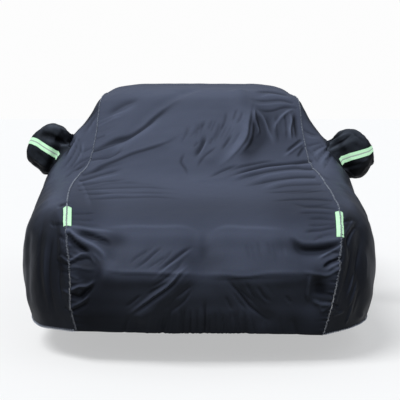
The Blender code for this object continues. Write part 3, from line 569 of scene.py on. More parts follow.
# bundles of near-parallel creases between a line where they start and a line where they end
bundles = {
    "hem gathers": {
        "count": 26, "rise": (-4, -1.5), "width": (0.9, 1.5), "seed": 4, "ends": (0.1, 1.0),
        "from": ((161, 306), (200, 299), (250, 306)), "to": ((155, 333), (200, 335), (256, 335)),
    },
    "hem gathers, wide": {
        "count": 12, "rise": (-2.5, 2.5), "width": (1.4, 2.2), "seed": 9, "ends": (0.0, 1.0),
        "from": ((120, 314), (200, 306), (300, 314)), "to": ((112, 333), (200, 335), (306, 335)),
    },
    "cowl wrinkles, left": {
        "count": 12, "rise": (-2.6, 2.2), "width": (0.9, 1.2), "seed": 12, "ends": (0.4, 0.0),
        "from": ((86, 182), (90, 200)), "to": ((165, 180), (178, 200)),
    },
    "cowl wrinkles, right": {
        "count": 10, "rise": (-2.6, 2.0), "width": (0.9, 1.3), "seed": 15, "ends": (0.5, 0.0),
        "from": ((316, 178), (334, 216)), "to": ((236, 186), (292, 214)),
    },
    "screen fan, left": {
        "count": 10, "rise": (-3.0, 2.6), "width": (1.0, 1.6), "seed": 21, "ends": (0.7, 0.0),
        "from": ((99, 118), (93, 148), (86, 172)), "to": ((128, 106), (134, 132), (134, 160)),
    },
    "screen dashes": {
        "count": 14, "rise": (-3.2, -1.4), "width": (1.0, 1.5), "seed": 27, "ends": (0, 0),
        "from": ((186, 126), (214, 118), (244, 132)), "to": ((178, 146), (204, 142), (228, 158)),
    },
    "hollow creases": {
        "count": 9, "rise": (-4, 4), "width": (1.2, 1.8), "seed": 33, "ends": (0, 0),
        "from": ((258, 110), (276, 112), (291, 114)), "to": ((266, 150), (278, 152), (292, 146)),
    },
    "slants": {
        "count": 12, "rise": (-3, 2.4), "width": (0.9, 1.2), "seed": 38, "ends": (0, 0),
        "from": ((150, 244), (172, 248), (190, 262), (196, 288)),
        "to": ((126, 264), (144, 276), (148, 292), (164, 314)),
    },
    "falls": {
        "count": 9, "rise": (-3, 2.0), "width": (0.9, 1.3), "seed": 44, "ends": (0, 0),
        "from": ((222, 286), (244, 283), (266, 282)), "to": ((246, 320), (266, 316), (282, 304)),
    },
    "left corner puckers": {
        "count": 12, "rise": (-4, 4), "width": (0.9, 1.4), "seed": 51, "ends": (1, 0),
        "from": ((68, 236), (70, 262), (71, 314)), "to": ((80, 240), (86, 266), (82, 306)),
    },
    "left flank puckers": {
        "count": 11, "rise": (-3, 3), "width": (0.9, 1.4), "seed": 55, "ends": (1, 0),
        "from": ((66, 236), (68, 262), (70, 314)), "to": ((57, 231), (58, 258), (60, 306)),
    },
    "right corner puckers": {
        "count": 12, "rise": (-4, 4), "width": (0.9, 1.4), "seed": 58, "ends": (1, 0),
        "from": ((340, 240), (339, 268), (331, 320)), "to": ((329, 238), (328, 266), (320, 312)),
    },
    "right flank puckers": {
        "count": 10, "rise": (-3, 3), "width": (0.9, 1.4), "seed": 63, "ends": (1, 0),
        "from": ((341, 240), (340, 268), (332, 320)), "to": ((349, 246), (348, 272), (341, 314)),
    },
    "lobe ripples, right": {
        "count": 10, "rise": (-1.6, 1.2), "width": (1.4, 2.4), "seed": 67, "ends": (0, 0),
        "from": ((244, 243), (270, 240), (296, 252)), "to": ((250, 270), (275, 268), (300, 270)),
    },
}


# how loosely the creases of a bundle are laid: place in their share of it, pixels moved, share of the length,
# sag as a share of the length, and how many times as wide the other side is
loose = {
    "place": (0.1, 0.9),
    "shift": (-1, 1),
    "length": (0.55, 1.0),
    "sag": (-0.06, 0.06),
    "otherWidth": (0.8, 1.4),
}


def bundleCreases(bundle):
    rng = np.random.default_rng(bundle["seed"])
    made = []
    for i in range(bundle["count"]):
        at = np.clip((i + rng.uniform(*loose["place"])) / bundle["count"], 0, 1)
        ends = []
        for edge in ("from", "to"):
            line = np.array(bundle[edge], float)
            ends.append(smooth(line, [at * (len(line) - 1)])[0] + rng.uniform(*loose["shift"], 2))
        short = rng.uniform(*loose["length"])
        start, end = ends[0], ends[0] + (ends[1] - ends[0]) * short
        if bundle["ends"][1] > bundle["ends"][0]:
            start, end = ends[1] + (ends[0] - ends[1]) * short, ends[1]
        sag = np.array((start[1] - end[1], end[0] - start[0])) * rng.uniform(*loose["sag"])
        width = rng.uniform(*bundle["width"])
        rise = rng.uniform(*bundle["rise"])
        otherWidth = width * rng.uniform(*loose["otherWidth"])
        middle = (start + end) / 2 + sag
        made.append(crease(rise, width, otherWidth, *bundle["ends"], start, middle, end))
    return made


def allCreases():
    made = []
    for table in (screenCreases, cowlCreases, frontCreases, sideCreases):
        made.extend(table.values())
    for bundle in bundles.values():
        made.extend(bundleCreases(bundle))
    return made


creaseScale = {
    "rise": 1.3,
    "width": 0.80,
    "fadeIn": 0.30,      # share of the run at each end over which a crease gathers its strength
    "fadeOut": 0.35,
    "reach": 2.4,        # widths away from its line where it has died out
    "finer": 6,          # steps of the smooth line from one point to the next
}
zoneEdge = 1.5   # how sharply a zone ends
# broad soft zones of painted light and shade: middle and half size in the picture, and how much lighter
paintedLightAndShadeZones = {
    "hollow by the right pillar": ((272, 128), (20, 26), -0.20),
    "left end of the lip": ((93, 272), (11, 12), -0.62),
    "hollow right of the screen": ((274, 126), (20, 27), -0.30),
    "left of the deep edge": ((236, 130), (9, 22), 0.22),
    "bonnet": ((196, 212), (112, 14), -0.42),
    "right of the bonnet": ((308, 207), (42, 24), -0.52),
    "by the left strip": ((84, 206), (22, 19), -0.42),
    "front lobe, left": ((145, 255), (44, 15), 0.04),
    "front lobe, right": ((258, 257), (40, 15), -0.06),
    "middle of the front": ((200, 263), (24, 14), -0.64),
    "left corner, middle": ((86, 266), (19, 12), -1.00),
    "beside the left seam": ((63, 258), (5, 12), -0.60),
    "dip of the middle": ((203, 237), (9, 7), 0.34),
    "upper front": ((205, 243), (95, 7), -0.32),
    "dark corner, left": ((114, 241), (13, 8), -0.80),
    "dark corner, right": ((314, 249), (20, 7), -0.56),
    "by the dark corner": ((296, 252), (18, 10), -0.34),
    "low left corner": ((90, 302), (26, 26), -0.70),
    "low middle": ((208, 304), (98, 30), 0.86),
    "right under the lip": ((255, 284), (40, 8), 0.34),
    "low right": ((282, 304), (20, 24), 0.22),
    "roof": ((196, 91), (95, 8), 0.44),
    "upper screen": ((170, 125), (60, 30), 0.18),
    "foot of the screen": ((180, 182), (95, 13), 0.20),
    "left pillar": ((76, 160), (13, 26), 0.10),
    "right pillar": ((322, 160), (10, 22), 0.34),
    "left flank": ((46, 270), (19, 56), -0.85),
    "right flank": ((356, 270), (19, 56), -0.65),
    "left wing": ((47, 210), (16, 20), 0.55),
    "right wing": ((353, 214), (14, 20), 0.48),
    "left pocket, top": ((64, 133), (13, 7), 1.00),
    "left pocket, above the strip": ((56, 145), (12, 5), 0.30),
    "right pocket, root": ((337, 142), (10, 10), 0.55),
    "right pocket, top": ((351, 136), (12, 6), 0.35),
    "right pocket, low": ((356, 172), (14, 7), -0.40),
}


# painted light and shade from the zones, by place in the picture
def zoneTone(seen):
    tone = np.zeros(seen.shape[:-1])
    for middle, reach, lighter in paintedLightAndShadeZones.values():
        away = ((seen - np.array(middle)) / np.array(reach)) ** 2
        tone += lighter * np.exp(-(away.sum(axis=-1) ** zoneEdge))
    return tone


def creaseRise(seen, creases):
    # how far each picture place stands out, in metres
    rise = np.zeros(seen.shape[:-1])
    for one in creases:
        path = np.array(one["path"], float)
        line = smooth(path, np.linspace(0, len(path) - 1, creaseScale["finer"] * (len(path) - 1) + 1))
        reach = creaseScale["reach"] * max(one["left"], one["right"])
        low, high = line.min(axis=0) - reach, line.max(axis=0) + reach
        near = np.all((seen > low) & (seen < high), axis=-1)
        if not near.any():
            continue
        here = seen[near]
        best = np.full(len(here), np.inf)
        offset = np.zeros(len(here))
        place = np.zeros(len(here))
        run = lengthAlong(line)
        for i in range(len(line) - 1):
            step = line[i + 1] - line[i]
            away = here - line[i]
            share = np.clip(away @ step / (step @ step), 0, 1)
            gap = away - share[:, None] * step
            distance = np.linalg.norm(gap, axis=-1)
            side = np.sign(step[0] * away[:, 1] - step[1] * away[:, 0])
            closer = distance < best
            best = np.where(closer, distance, best)
            offset = np.where(closer, side * distance, offset)
            place = np.where(closer, (run[i] + share * (run[i + 1] - run[i])) / run[-1], place)
        width = np.where(offset < 0, one["left"], one["right"]) * creaseScale["width"]
        strength = eased(np.minimum(
            one["start"] + (1 - one["start"]) * np.clip(place / creaseScale["fadeIn"], 0, 1),
            one["end"] + (1 - one["end"]) * np.clip((1 - place) / creaseScale["fadeOut"], 0, 1),
        ))
        metres = creaseScale["rise"] * one["rise"] / 1000
        rise[near] += metres * strength * np.exp(-((offset / width) ** 2))
    return rise


waveCount = 14
waveSizes = (0.7, 1.5)   # times the length asked for


def waves(points, size, seed):
    # a gentle unevenness between about -1 and 1, with waves about this long
    rng = np.random.default_rng(seed)
    total = np.zeros(points.shape[:-1])
    for _ in range(waveCount):
        direction = rng.normal(size=3)
        direction /= np.linalg.norm(direction)
        length = size * rng.uniform(*waveSizes)
        total += np.sin(points @ direction * 2 * math.pi / length + rng.uniform(0, 7))
    return total / math.sqrt(waveCount)


# unevenness of the cloth: metres out, length of the waves in metres, seed
uneven = {"broad": (0.0035, 0.55, 3), "fine": (0.0010, 0.13, 5)}
unevenPocket = {"broad": (0.0035, 0.14, 40), "fine": (0.0012, 0.045, 44)}


def unevenRise(points, table, seedShift=0):
    return sum(height * waves(points, size, seed + seedShift) for height, size, seed in table.values())


def distanceTo(path, points):
    closest = np.full(points.shape[:-1], np.inf)
    for start, end in zip(path[:-1], path[1:]):
        run = end - start
        share = np.clip(((points - start) @ run) / (run @ run), 0, 1)
        closest = np.minimum(closest, np.linalg.norm(points - start - share[..., None] * run, axis=-1))
    return closest


def broadRise(grid, folds):
    rise = np.zeros(grid.shape[:-1])
    for path, width, height in folds.values():
        across, along = np.array(path).T
        spots = np.linspace(0, len(across) - 1, 5 * len(across))
        corners = np.arange(len(across))
        spotsAcross, spotsAlong = np.interp(spots, corners, across), np.interp(spots, corners, along)
        line = np.array([coverGrid([a], [b])[0, 0] for a, b in zip(spotsAcross, spotsAlong)])
        rise += height * np.exp(-((distanceTo(line, grid) / width) ** 2))
    return rise


seamFold = {
    "proud": 0.0022,
    "half": 0.008,
    "pucker": 0.0016 / 1.8,
    "puckerReach": 0.022,
    "pitches": (0.021, 0.01302, 0.0357),
    "strong": (0.6, 1.6, 0.35, 0.55),   # everywhere; more on the lower front, its middle and its reach
    "seed": 17,
}


def nearSeam(away, alongRun):
    # the sewn edge stands proud and the cloth beside it gathers
    rng = np.random.default_rng(seamFold["seed"])
    run = alongRun[:, None]
    wobble = sum(np.sin(2 * math.pi * run / pitch + rng.uniform(0, 6)) for pitch in seamFold["pitches"])
    least, more, middle, reach = seamFold["strong"]
    strong = least + more * np.exp(-(((run - middle) / reach) ** 2))
    rise = seamFold["proud"] * np.exp(-((away / seamFold["half"]) ** 2))
    return rise + seamFold["pucker"] * strong * wobble * np.exp(-away / seamFold["puckerReach"])


# how squarely the cloth faces the camera where its creases reach their full size
frontEdge = {"cover": 0.18, "pocket": 0.20}


def turnedToFront(grid, out, edge):
    # 1 where the cloth can be seen from the front, down to 0 where it turns away
    towards = np.array(view["place"]) - grid
    towards /= np.linalg.norm(towards, axis=-1, keepdims=True)
    return np.clip((towards * out).sum(axis=-1) / edge, 0, 1)


creases = allCreases()
print("creases", len(creases))
# painted shade in the folds and painted highlight along their ridges; full is the rise in metres that shows
# it all
wearAndShade = {"full": 0.009, "valley": 0.42, "ridge": 1.62}


def shapedCover(across, along, folds, seamSigns):
    # the cover's points with all their folds, and the painted light and shade of each
    grid = coverGrid(across, along)
    out = facing(grid)
    toView = eased(turnedToFront(grid, out, frontEdge["cover"]))
    ridge = creaseRise(seenAt(grid), creases) * toView
    rise = broadRise(grid, folds) + ridge + unevenRise(grid, uneven)
    steps = lengthAcross(grid)
    for sign in seamSigns:
        edge = nearest(np.array(across), sign)
        away = abs(steps - steps[:, edge : edge + 1])
        rise += nearSeam(away, lengthAlong(coverGrid([sign], along)[:, 0]))
    # the second value is painted shade in the creases, painted highlight on their ridges, and the zones'
    # painted light and shade
    return grid + out * rise[..., None], ridge / wearAndShade["full"] + zoneTone(seenAt(grid)) * toView


def gridPiece(name, points, flat, ridge=None):
    # a grid of this many cells, with each vertex moved to its place; flat is its map in metres
    rows, columns = points.shape[:2]
    deselectAll()
    bpy.ops.mesh.primitive_grid_add(x_subdivisions=columns - 1, y_subdivisions=rows - 1, size=1)
    piece = bpy.context.object
    piece.name = name
    piece.data.name = name
    count = len(piece.data.vertices)
    places = np.empty(count * 3)
    piece.data.vertices.foreach_get("co", places)
    places = places.reshape(-1, 3)
    low, high = places.min(axis=0), places.max(axis=0)
    column = np.rint((places[:, 0] - low[0]) / (high[0] - low[0]) * (columns - 1)).astype(int)
    row = np.rint((places[:, 1] - low[1]) / (high[1] - low[1]) * (rows - 1)).astype(int)
    piece.data.vertices.foreach_set("co", points[row, column].ravel())
    corner = np.empty(len(piece.data.loops), int)
    piece.data.loops.foreach_get("vertex_index", corner)
    layer = piece.data.uv_layers[0]
    layer.name = "flat"
    layer.data.foreach_set("uv", flat[row, column][corner].ravel())
    # the ridge attribute holds painted light and shade: dark in the creases, light on their ridges, and the
    # zones
    if ridge is not None:
        wornAndShaded = piece.data.attributes.new("ridge", "FLOAT", "POINT")
        wornAndShaded.data.foreach_set("value", np.clip(ridge, -1, 1)[row, column])
    piece.data.update()
    return piece, row, column


def flatMap(points):
    # metres across and along the cloth
    middle = points.shape[1] // 2
    across = lengthAcross(points)
    across -= across[:, middle : middle + 1]
    along = lengthAlong(points[:, middle])
    return np.stack([across, np.repeat(along[:, None], points.shape[1], axis=1)], axis=-1)


# each line of the turned hem, inwards and up
hemTurn = ((0.0035, -0.0012), (0.0062, 0.004), (0.0055, 0.016))
hemFull = 0.02   # the turn has its full size where the line three in is at least this far from the edge
hemLines = len(hemTurn)


def hemEnds(points, axis, atStart):
    # more lines, turned in under the hem
    lines = np.moveaxis(points, axis, 0)
    out = np.moveaxis(facing(points), axis, 0)
    edge, inner, facingOut = (lines[0], lines[3], out[0]) if atStart else (lines[-1], lines[-4], out[-1])
    up = inner - edge
    length = np.linalg.norm(up, axis=-1, keepdims=True)
    up = up / (length + 1e-9)
    size = np.clip(length / hemFull, 0, 1)
    added = [edge + (up * rise - facingOut * inwards) * size for inwards, rise in hemTurn]
    lines = np.concatenate([added[::-1], lines]) if atStart else np.concatenate([lines, added])
    return np.moveaxis(lines, 0, axis)


def padded(ridge, axis, atStart):
    # the turned hem carries on the value at the edge
    more = [(0, 0), (0, 0)]
    more[axis] = (hemLines, 0) if atStart else (0, hemLines)
    return np.pad(ridge, more, mode="edge")


def tidyMesh(piece):
    makeActive(piece)
    bpy.ops.object.mode_set(mode="EDIT")
    bpy.ops.mesh.select_all(action="SELECT")
    bpy.ops.mesh.remove_doubles(threshold=0.00001)
    bpy.ops.object.mode_set(mode="OBJECT")
    bpy.ops.object.shade_smooth()


middlePoints, middleRidge = shapedCover(middleColumns, alongRows, mainFolds, (-1, 1))
hemmed = hemEnds(hemEnds(middlePoints, 0, True), 0, False)
middleRidge = padded(padded(middleRidge, 0, True), 0, False)
longPanel, _, _ = gridPiece("longPanel", hemmed, flatMap(hemmed), middleRidge)
tidyMesh(longPanel)
print("long panel", len(longPanel.data.polygons))

sidePoints = {}
sidePanels = {}
for sign, side in sides.items():
    points, ridge = shapedCover(sideColumns[sign], alongRows, sideMainFolds, (sign,))
    sidePoints[sign] = points
    points = hemEnds(points, 1, sign < 0)
    ridge = padded(ridge, 1, sign < 0)
    panel, row, column = gridPiece("sidePanel" + side.title(), points, flatMap(points), ridge)
    # the mouth behind the pocket
    first, last = (nearest(alongRows, place) for place in mouthAlong)
    edges = sorted(nearest(sideColumns[sign], place) for place in mouthColumns[sign])
    shift = hemLines if sign < 0 else 0
    inside = (row > first) & (row < last) & (column > edges[0] + shift) & (column < edges[1] + shift)
    makeActive(panel)
    bpy.ops.object.mode_set(mode="EDIT")
    bpy.ops.mesh.select_all(action="DESELECT")
    bpy.ops.object.mode_set(mode="OBJECT")
    for vertex in np.flatnonzero(inside):
        panel.data.vertices[vertex].select = True
    bpy.ops.object.mode_set(mode="EDIT")
    bpy.ops.mesh.delete(type="VERT")
    bpy.ops.object.mode_set(mode="OBJECT")
    tidyMesh(panel)
    sidePanels[sign] = panel
    print("side panel", side, len(panel.data.polygons))

# mirror pockets: rings from the root to the tip as out, how much less at the top, low, high, near, far, turn
pocketRings = {
    -1: ((0.904, 0.070, 0.858, 1.114, 1.672, 1.906, -13.0), (0.938, 0.058, 0.858, 1.168, 1.650, 1.935, -11.0),
         (0.988, 0.040, 0.887, 1.184, 1.660, 1.920, -5.0), (1.045, 0.020, 0.920, 1.148, 1.685, 1.895, 15.0),
         (1.090, 0.006, 0.962, 1.078, 1.725, 1.855, 50.0)),
    1: ((0.905, 0.062, 0.838, 1.078, 1.665, 1.915, -7.0), (0.950, 0.052, 0.833, 1.136, 1.650, 1.935, -10.0),
        (1.010, 0.040, 0.850, 1.153, 1.660, 1.920, -8.0), (1.068, 0.022, 0.903, 1.115, 1.685, 1.895, -4.0),
        (1.109, 0.009, 0.935, 1.036, 1.725, 1.855, 40.0)),
}
pocketShape = {
    "square": 2.6,        # how square the rings are
    "tipOut": 0.008,
    "tipShare": 0.55,     # how far the last ring has closed towards the tip
    "steps": 72,
    "gathers": 23,
    "gatherRise": 0.0022,
    "gatherAt": (0.10, 0.12),   # middle and reach of the gathers, from the root at 0 to the tip at 1
    "flatRoot": 0.06,
}
pocketCreases = {
    -1: {
        "big hollow": crease(-15, 3.4, 3.2, 0.1, 0.4, (36, 135), (44, 134.5), (53, 136.5), (62, 141),
                             (69, 144)),
        "ridge above": crease(11, 3.4, 3.0, 0.1, 0.9, (45, 127.5), (55, 129), (64, 133), (72, 138.5)),
        "ridge below": crease(7, 2.2, 2.6, 0.1, 0.4, (42, 141), (51, 143), (60, 145.5), (67, 147)),
        "root fold 1": crease(-3, 0.9, 1.1, 0, 0.9, (60, 131), (67, 134.5), (73, 140)),
        "root ridge 2": crease(8, 2.4, 2.4, 0.2, 0.9, (61, 146), (66, 146), (70, 145)),
        "under strip": crease(-5, 2, 3, 0, 0.5, (34, 150), (44, 157), (52, 164)),
        "low ridge": crease(5, 2, 2.5, 0, 0.3, (32, 157), (39, 162), (46, 168)),
        "tip dent": crease(-5, 2, 2, 0, 0, (33, 161), (38, 166), (44, 170)),
    },
    1: {
        "root fold 1": crease(-7, 1.0, 1.3, 0.9, 0, (328, 143.5), (335, 138), (341, 133), (346, 130)),
        "root ridge 1": crease(6, 1.2, 1.4, 0.9, 0, (329, 145.5), (336, 140.5), (343, 136), (350, 132)),
        "root fold 2": crease(-7, 1.0, 1.3, 0.9, 0, (330, 147.5), (337, 144), (345, 139), (352, 133.5)),
        "root ridge 2": crease(6, 1.6, 1.8, 0.8, 0, (332, 149.5), (342, 146), (352, 140.5), (358, 134)),
        "root fold 3": crease(-6, 1.2, 1.4, 0.9, 0, (333, 152.5), (343, 150), (353, 146.5), (364, 139)),
        "over the strip": crease(-5, 1.6, 1.6, 0.5, 0.2, (338, 156), (350, 151), (364, 145)),
        "top dent": crease(-4, 1.4, 1.4, 0, 0, (352, 131), (359, 137), (366, 143)),
        "under strip": crease(-7, 1.6, 2.4, 0.5, 0, (344, 168), (354, 164.5), (364, 161)),
        "low ridge": crease(7, 1.6, 2.0, 0.3, 0, (353, 162), (362, 161), (371, 158)),
        "low fold": crease(6, 1.0, 1.4, 0.4, 0, (343, 168), (350, 173), (357, 177)),
        "tip dent": crease(-4, 1.8, 1.8, 0, 0, (368, 165), (366, 170), (361, 175)),
    },
}


def mouthEdge(sign):
    # the edge of the hole behind the pocket, and its place round a square
    first, last = (nearest(alongRows, place) for place in mouthAlong)
    low, high = (nearest(sideColumns[sign], place) for place in mouthColumns[sign])
    step = 1 if high > low else -1
    ring = [(i, low) for i in range(first, last)] + [(last, j) for j in range(low, high, step)]
    ring += [(i, high) for i in range(last, first, -1)] + [(first, j) for j in range(high, low, -step)]
    rows, columns = np.array(ring).T
    fore = np.interp(alongRows[rows], mouthAlong, (-1, 1))
    upright = np.interp(abs(sideColumns[sign][columns]), sorted(abs(np.array(mouthColumns[sign]))), (1, -1))
    return sidePoints[sign][rows, columns], fore, upright


def pocketGrid(sign):
    edge, fore, upright = mouthEdge(sign)
    rings = [edge]
    for ringOut, lean, low, high, near, far, turn in pocketRings[sign]:
        angle = math.radians(turn)
        tall, long = (high - low) / 2, (far - near) / 2
        ahead = fore * math.cos(angle) + upright * math.sin(angle)
        above = upright * math.cos(angle) - fore * math.sin(angle)
        square = pocketShape["square"]
        size = (abs(ahead) ** square + abs(above) ** square) ** (-1 / square)
        out = sign * (ringOut - size * above * lean)
        behind = (near + far) / 2 + size * ahead * long - mountBehind
        height = (low + high) / 2 + size * above * tall + ground
        rings.append(np.stack([out, behind, height], axis=-1))
    tip = rings[-1].mean(axis=0) + (sign * pocketShape["tipOut"], 0, 0)
    rings.append(rings[-1] * (1 - pocketShape["tipShare"]) + tip * pocketShape["tipShare"])
    rings.append(np.repeat(tip[None], len(fore), axis=0))
    rings = np.array(rings)
    return smooth(rings, np.linspace(0, len(rings) - 1, pocketShape["steps"] + 1))


def foldedPocket(sign, grid):
    closed = np.concatenate([grid[:, -1:], grid, grid[:, :1]], axis=1)
    out = facing(closed)[:, 1:-1]
    out *= np.sign(((grid - grid.mean(axis=(0, 1))) * out).sum(axis=-1).mean())
    toView = turnedToFront(grid, out, frontEdge["pocket"])
    ridge = creaseRise(seenAt(grid), list(pocketCreases[sign].values())) * toView
    rise = ridge + unevenRise(grid, unevenPocket, sign)
    root = np.linspace(0, 1, len(grid))[:, None]
    middle, reach = pocketShape["gatherAt"]
    gather = np.sin(np.arange(grid.shape[1]) / grid.shape[1] * 2 * math.pi * pocketShape["gathers"])
    rise += pocketShape["gatherRise"] * gather * np.exp(-(((root - middle) / reach) ** 2))
    rise *= np.clip(root / pocketShape["flatRoot"], 0, 1)
    # the last value is painted shade in the creases, painted highlight on their ridges, and the zones'
    # painted light and shade
    return grid + out * rise[..., None], out, ridge / wearAndShade["full"] + zoneTone(seenAt(grid)) * toView


pockets, pocketGrids = {}, {}
for sign, side in sides.items():
    base = pocketGrid(sign)
    points, out, ridge = foldedPocket(sign, base)
    pocketGrids[sign] = (points, out)
    closed = np.concatenate([points, points[:, :1]], axis=1)
    ridge = np.concatenate([ridge, ridge[:, :1]], axis=1)
    if sign < 0:
        closed, ridge = closed[:, ::-1], ridge[:, ::-1]
    pocket, _, _ = gridPiece("mirrorPocket" + side.title(), closed, flatMap(closed), ridge)
    tidyMesh(pocket)
    pockets[sign] = pocket
    print("pocket", side, len(pocket.data.polygons))

# reflective strips
stripShape = {
    "lift": 0.0016,
    "thick": 0.0008,
    "cells": 13,
    "probe": 0.02,          # the cover's stretch is measured over this much across
    "rings": (0.55, 5.0),   # the rings of a pocket between which its strip runs
}
# how far down round the pocket each strip runs from the front of the rings, in metres by ring
stripClimb = {
    -1: ((0.4, 1.0, 2.0, 3.0, 4.0, 5.0), (-0.005, -0.036, -0.028, -0.015, -0.004, 0.0)),
    1: ((0.4, 0.7, 1.0, 2.0, 3.0, 4.0, 5.0), (0.022, 0.002, -0.018, -0.020, -0.013, -0.008, -0.004)),
}


def cornerStrip(sign):
    # it lies over the seam, with the cover's own folds in it
    rows = alongRows[(alongRows >= stripAlong[sign][0]) & (alongRows <= stripAlong[sign][1])]
    seam = coverGrid([sign], rows)[:, 0]
    cells = np.linspace(-1, 1, stripShape["cells"])
    points = np.empty((len(rows), len(cells), 3))
    for k, cell in enumerate(cells):
        towards = sign + stripShape["probe"] * np.sign(cell if cell else 1)
        near = coverGrid([towards], rows)[:, 0]
        scale = abs(cell) * stripWidth / 2 / np.linalg.norm(near - seam, axis=-1)
        for i, row in enumerate(rows):
            level = row + stripTilt[sign] * max(cell * sign, 0)
            points[i, k] = coverGrid([sign + (towards - sign) * scale[i]], [level])[0, 0]
    out = facing(points)
    rise = broadRise(points, {**mainFolds, **sideMainFolds}) + unevenRise(points, uneven)
    toView = eased(turnedToFront(points, out, frontEdge["cover"]))
    rise += creaseRise(seenAt(points), creases) * toView
    run = np.interp(rows, alongRows, lengthAlong(coverGrid([sign], alongRows)[:, 0]))
    rise += nearSeam(abs(cells)[None, :] * stripWidth / 2, run)
    return points + out * (rise + stripShape["lift"])[..., None]


def pocketStrip(sign):
    # it runs along the front of the pocket from the root to the tip
    points, out = pocketGrids[sign]
    _, fore, upright = mouthEdge(sign)
    front = int(np.argmin(abs(fore + 1) + abs(upright)))
    middle = points.shape[1] // 2
    points, out = (np.roll(array, middle - front, axis=1) for array in (points, out))
    perRing = pocketShape["steps"] / (len(pocketRings[sign]) + 2)
    line = []
    across = np.linspace(-stripWidth / 2, stripWidth / 2, stripShape["cells"])
    first, last = (round(perRing * ring) for ring in stripShape["rings"])
    for row in range(first, last + 1):
        run = lengthAlong(points[row])
        climb = np.interp(row / perRing, *stripClimb[sign])
        line.append(along3(points[row] + out[row] * stripShape["lift"], run, run[middle] + climb + across))
    return np.array(line)


def stripPiece(name, points):
    rows, columns = points.shape[:2]
    run = lengthAlong(points[:, columns // 2])
    flat = np.stack(np.meshgrid(np.linspace(0, 1, columns), run), axis=-1)
    piece, _, _ = gridPiece(name, points, flat)
    tidyMesh(piece)
    makeActive(piece)
    wall = piece.modifiers.new("wall", "SOLIDIFY")
    wall.thickness = stripShape["thick"]
    wall.offset = 0
    applyModifiers(piece)
    return piece


strips = {}
for sign, side in sides.items():
    strips["corner", sign] = stripPiece("cornerStrip" + side.title(), cornerStrip(sign))
    strips["pocket", sign] = stripPiece("pocketStrip" + side.title(), pocketStrip(sign)[:, ::sign])
print("strips", len(strips))

# threads: one stitch is modelled once and laid along each seam
stitch = {"thick": 0.0014, "sides": 5, "rings": 6, "arch": 0.0022}
stitching = {
    "pitch": 0.0080,
    "reach": 0.0080,                     # width across the seam
    "lean": 0.35,
    "lift": 0.0016,
    "lumps": (0.35, 0.019, 0.3, 0.55),   # share, pitch, middle and reach of the lumps on the lower front
    "wider": (0.25, 0.3, 0.5),           # share, middle and reach of the wider stitching there
    "tone": ((0.0, 0.34, 0.56), (0.42, 0.50, 1.0)),   # how light the thread is, by metres from the front hem
}
hemStitch = {
    "pitch": 0.0092,
    "up": 0.004,                       # above the edge
    "inset": 3,                        # mesh lines free of thread at each seam
    "reach": {-1: 0.015, 1: 0.010},    # width over the hem on each side
}


def oneStitch():
    deselectAll()
    bpy.ops.mesh.primitive_cylinder_add(vertices=stitch["sides"], radius=stitch["thick"], depth=1,
                                        end_fill_type="TRIFAN", rotation=(0, math.pi / 2, 0))
    piece = bpy.context.object
    bpy.ops.object.transform_apply(location=True, rotation=True, scale=True)
    bpy.ops.object.mode_set(mode="EDIT")
    for cut in range(1, stitch["rings"]):
        bpy.ops.mesh.select_all(action="SELECT")
        bpy.ops.mesh.bisect(plane_co=(cut / stitch["rings"] - 0.5, 0, 0), plane_no=(1, 0, 0))
    bpy.ops.object.mode_set(mode="OBJECT")
    places = np.array([vertex.co[:] for vertex in piece.data.vertices])
    faces = [list(face.vertices) for face in piece.data.polygons]
    bpy.data.objects.remove(piece)
    return places, faces


def laidAlong(name, line, out, pitch, reachAt, toneAt):
    # a copy of the stitch at each step along a line; reachAt and toneAt take the steps' places in metres
    places, faces = stitchMesh
    run = lengthAlong(line)
    stops = np.arange(pitch / 2, run[-1], pitch)
    outs = along3(out, run, stops)
    line = along3(line, run, stops) + outs * stitching["lift"]
    reaches, tones = reachAt(stops), toneAt(stops)
    points, made = [], []
    forward = np.gradient(line, axis=0)
    forward /= np.linalg.norm(forward, axis=-1, keepdims=True) + 1e-12
    for i, centre in enumerate(line):
        along = forward[i]
        up = outs[i]
        across = np.cross(up, along)
        across /= np.linalg.norm(across) + 1e-12
        lean = stitching["lean"] * (1 if i % 2 else -1)
        span = places[:, :1] * reaches[i]
        bow = stitch["arch"] * (1 - (2 * places[:, :1]) ** 2)
        copy = centre + span * (across + lean * along) + up * (bow + places[:, 2:3]) + along * places[:, 1:2]
        made.extend([[corner + len(points) * len(places) for corner in face] for face in faces])
        points.append(copy)
    shape = bpy.data.meshes.new(name)
    shape.from_pydata(np.concatenate(points).tolist(), [], made)
    tone = shape.attributes.new("tone", "FLOAT", "POINT")
    tone.data.foreach_set("value", np.repeat(tones, len(places)))
    piece = bpy.data.objects.new(name, shape)
    bpy.context.scene.collection.objects.link(piece)
    makeActive(piece)
    bpy.ops.object.mode_set(mode="EDIT")
    bpy.ops.mesh.select_all(action="SELECT")
    bpy.ops.mesh.normals_make_consistent(inside=False)
    bpy.ops.object.mode_set(mode="OBJECT")
    bpy.ops.object.shade_smooth()
    return piece


def seamReach(stops):
    share, pitch, middle, reach = stitching["lumps"]
    lumps = 1 + share * np.sin(2 * math.pi * stops / pitch) * np.exp(-(((stops - middle) / reach) ** 2))
    share, middle, reach = stitching["wider"]
    return stitching["reach"] * lumps * (1 + share * np.exp(-(((stops - middle) / reach) ** 2)))


def seamTone(stops):
    return np.interp(stops, *stitching["tone"])


def hemLine(sign):
    # just above the hem, from near the front seam to near the rear seam
    columns = np.swapaxes(sidePoints[sign], 0, 1)[::-sign]
    outs = np.swapaxes(facing(sidePoints[sign]), 0, 1)[::-sign]
    upward = columns[4] - columns[0]
    upward /= np.linalg.norm(upward, axis=-1, keepdims=True) + 1e-9
    between = slice(hemStitch["inset"], -hemStitch["inset"])
    return (columns[0] + upward * hemStitch["up"])[between], outs[2][between]


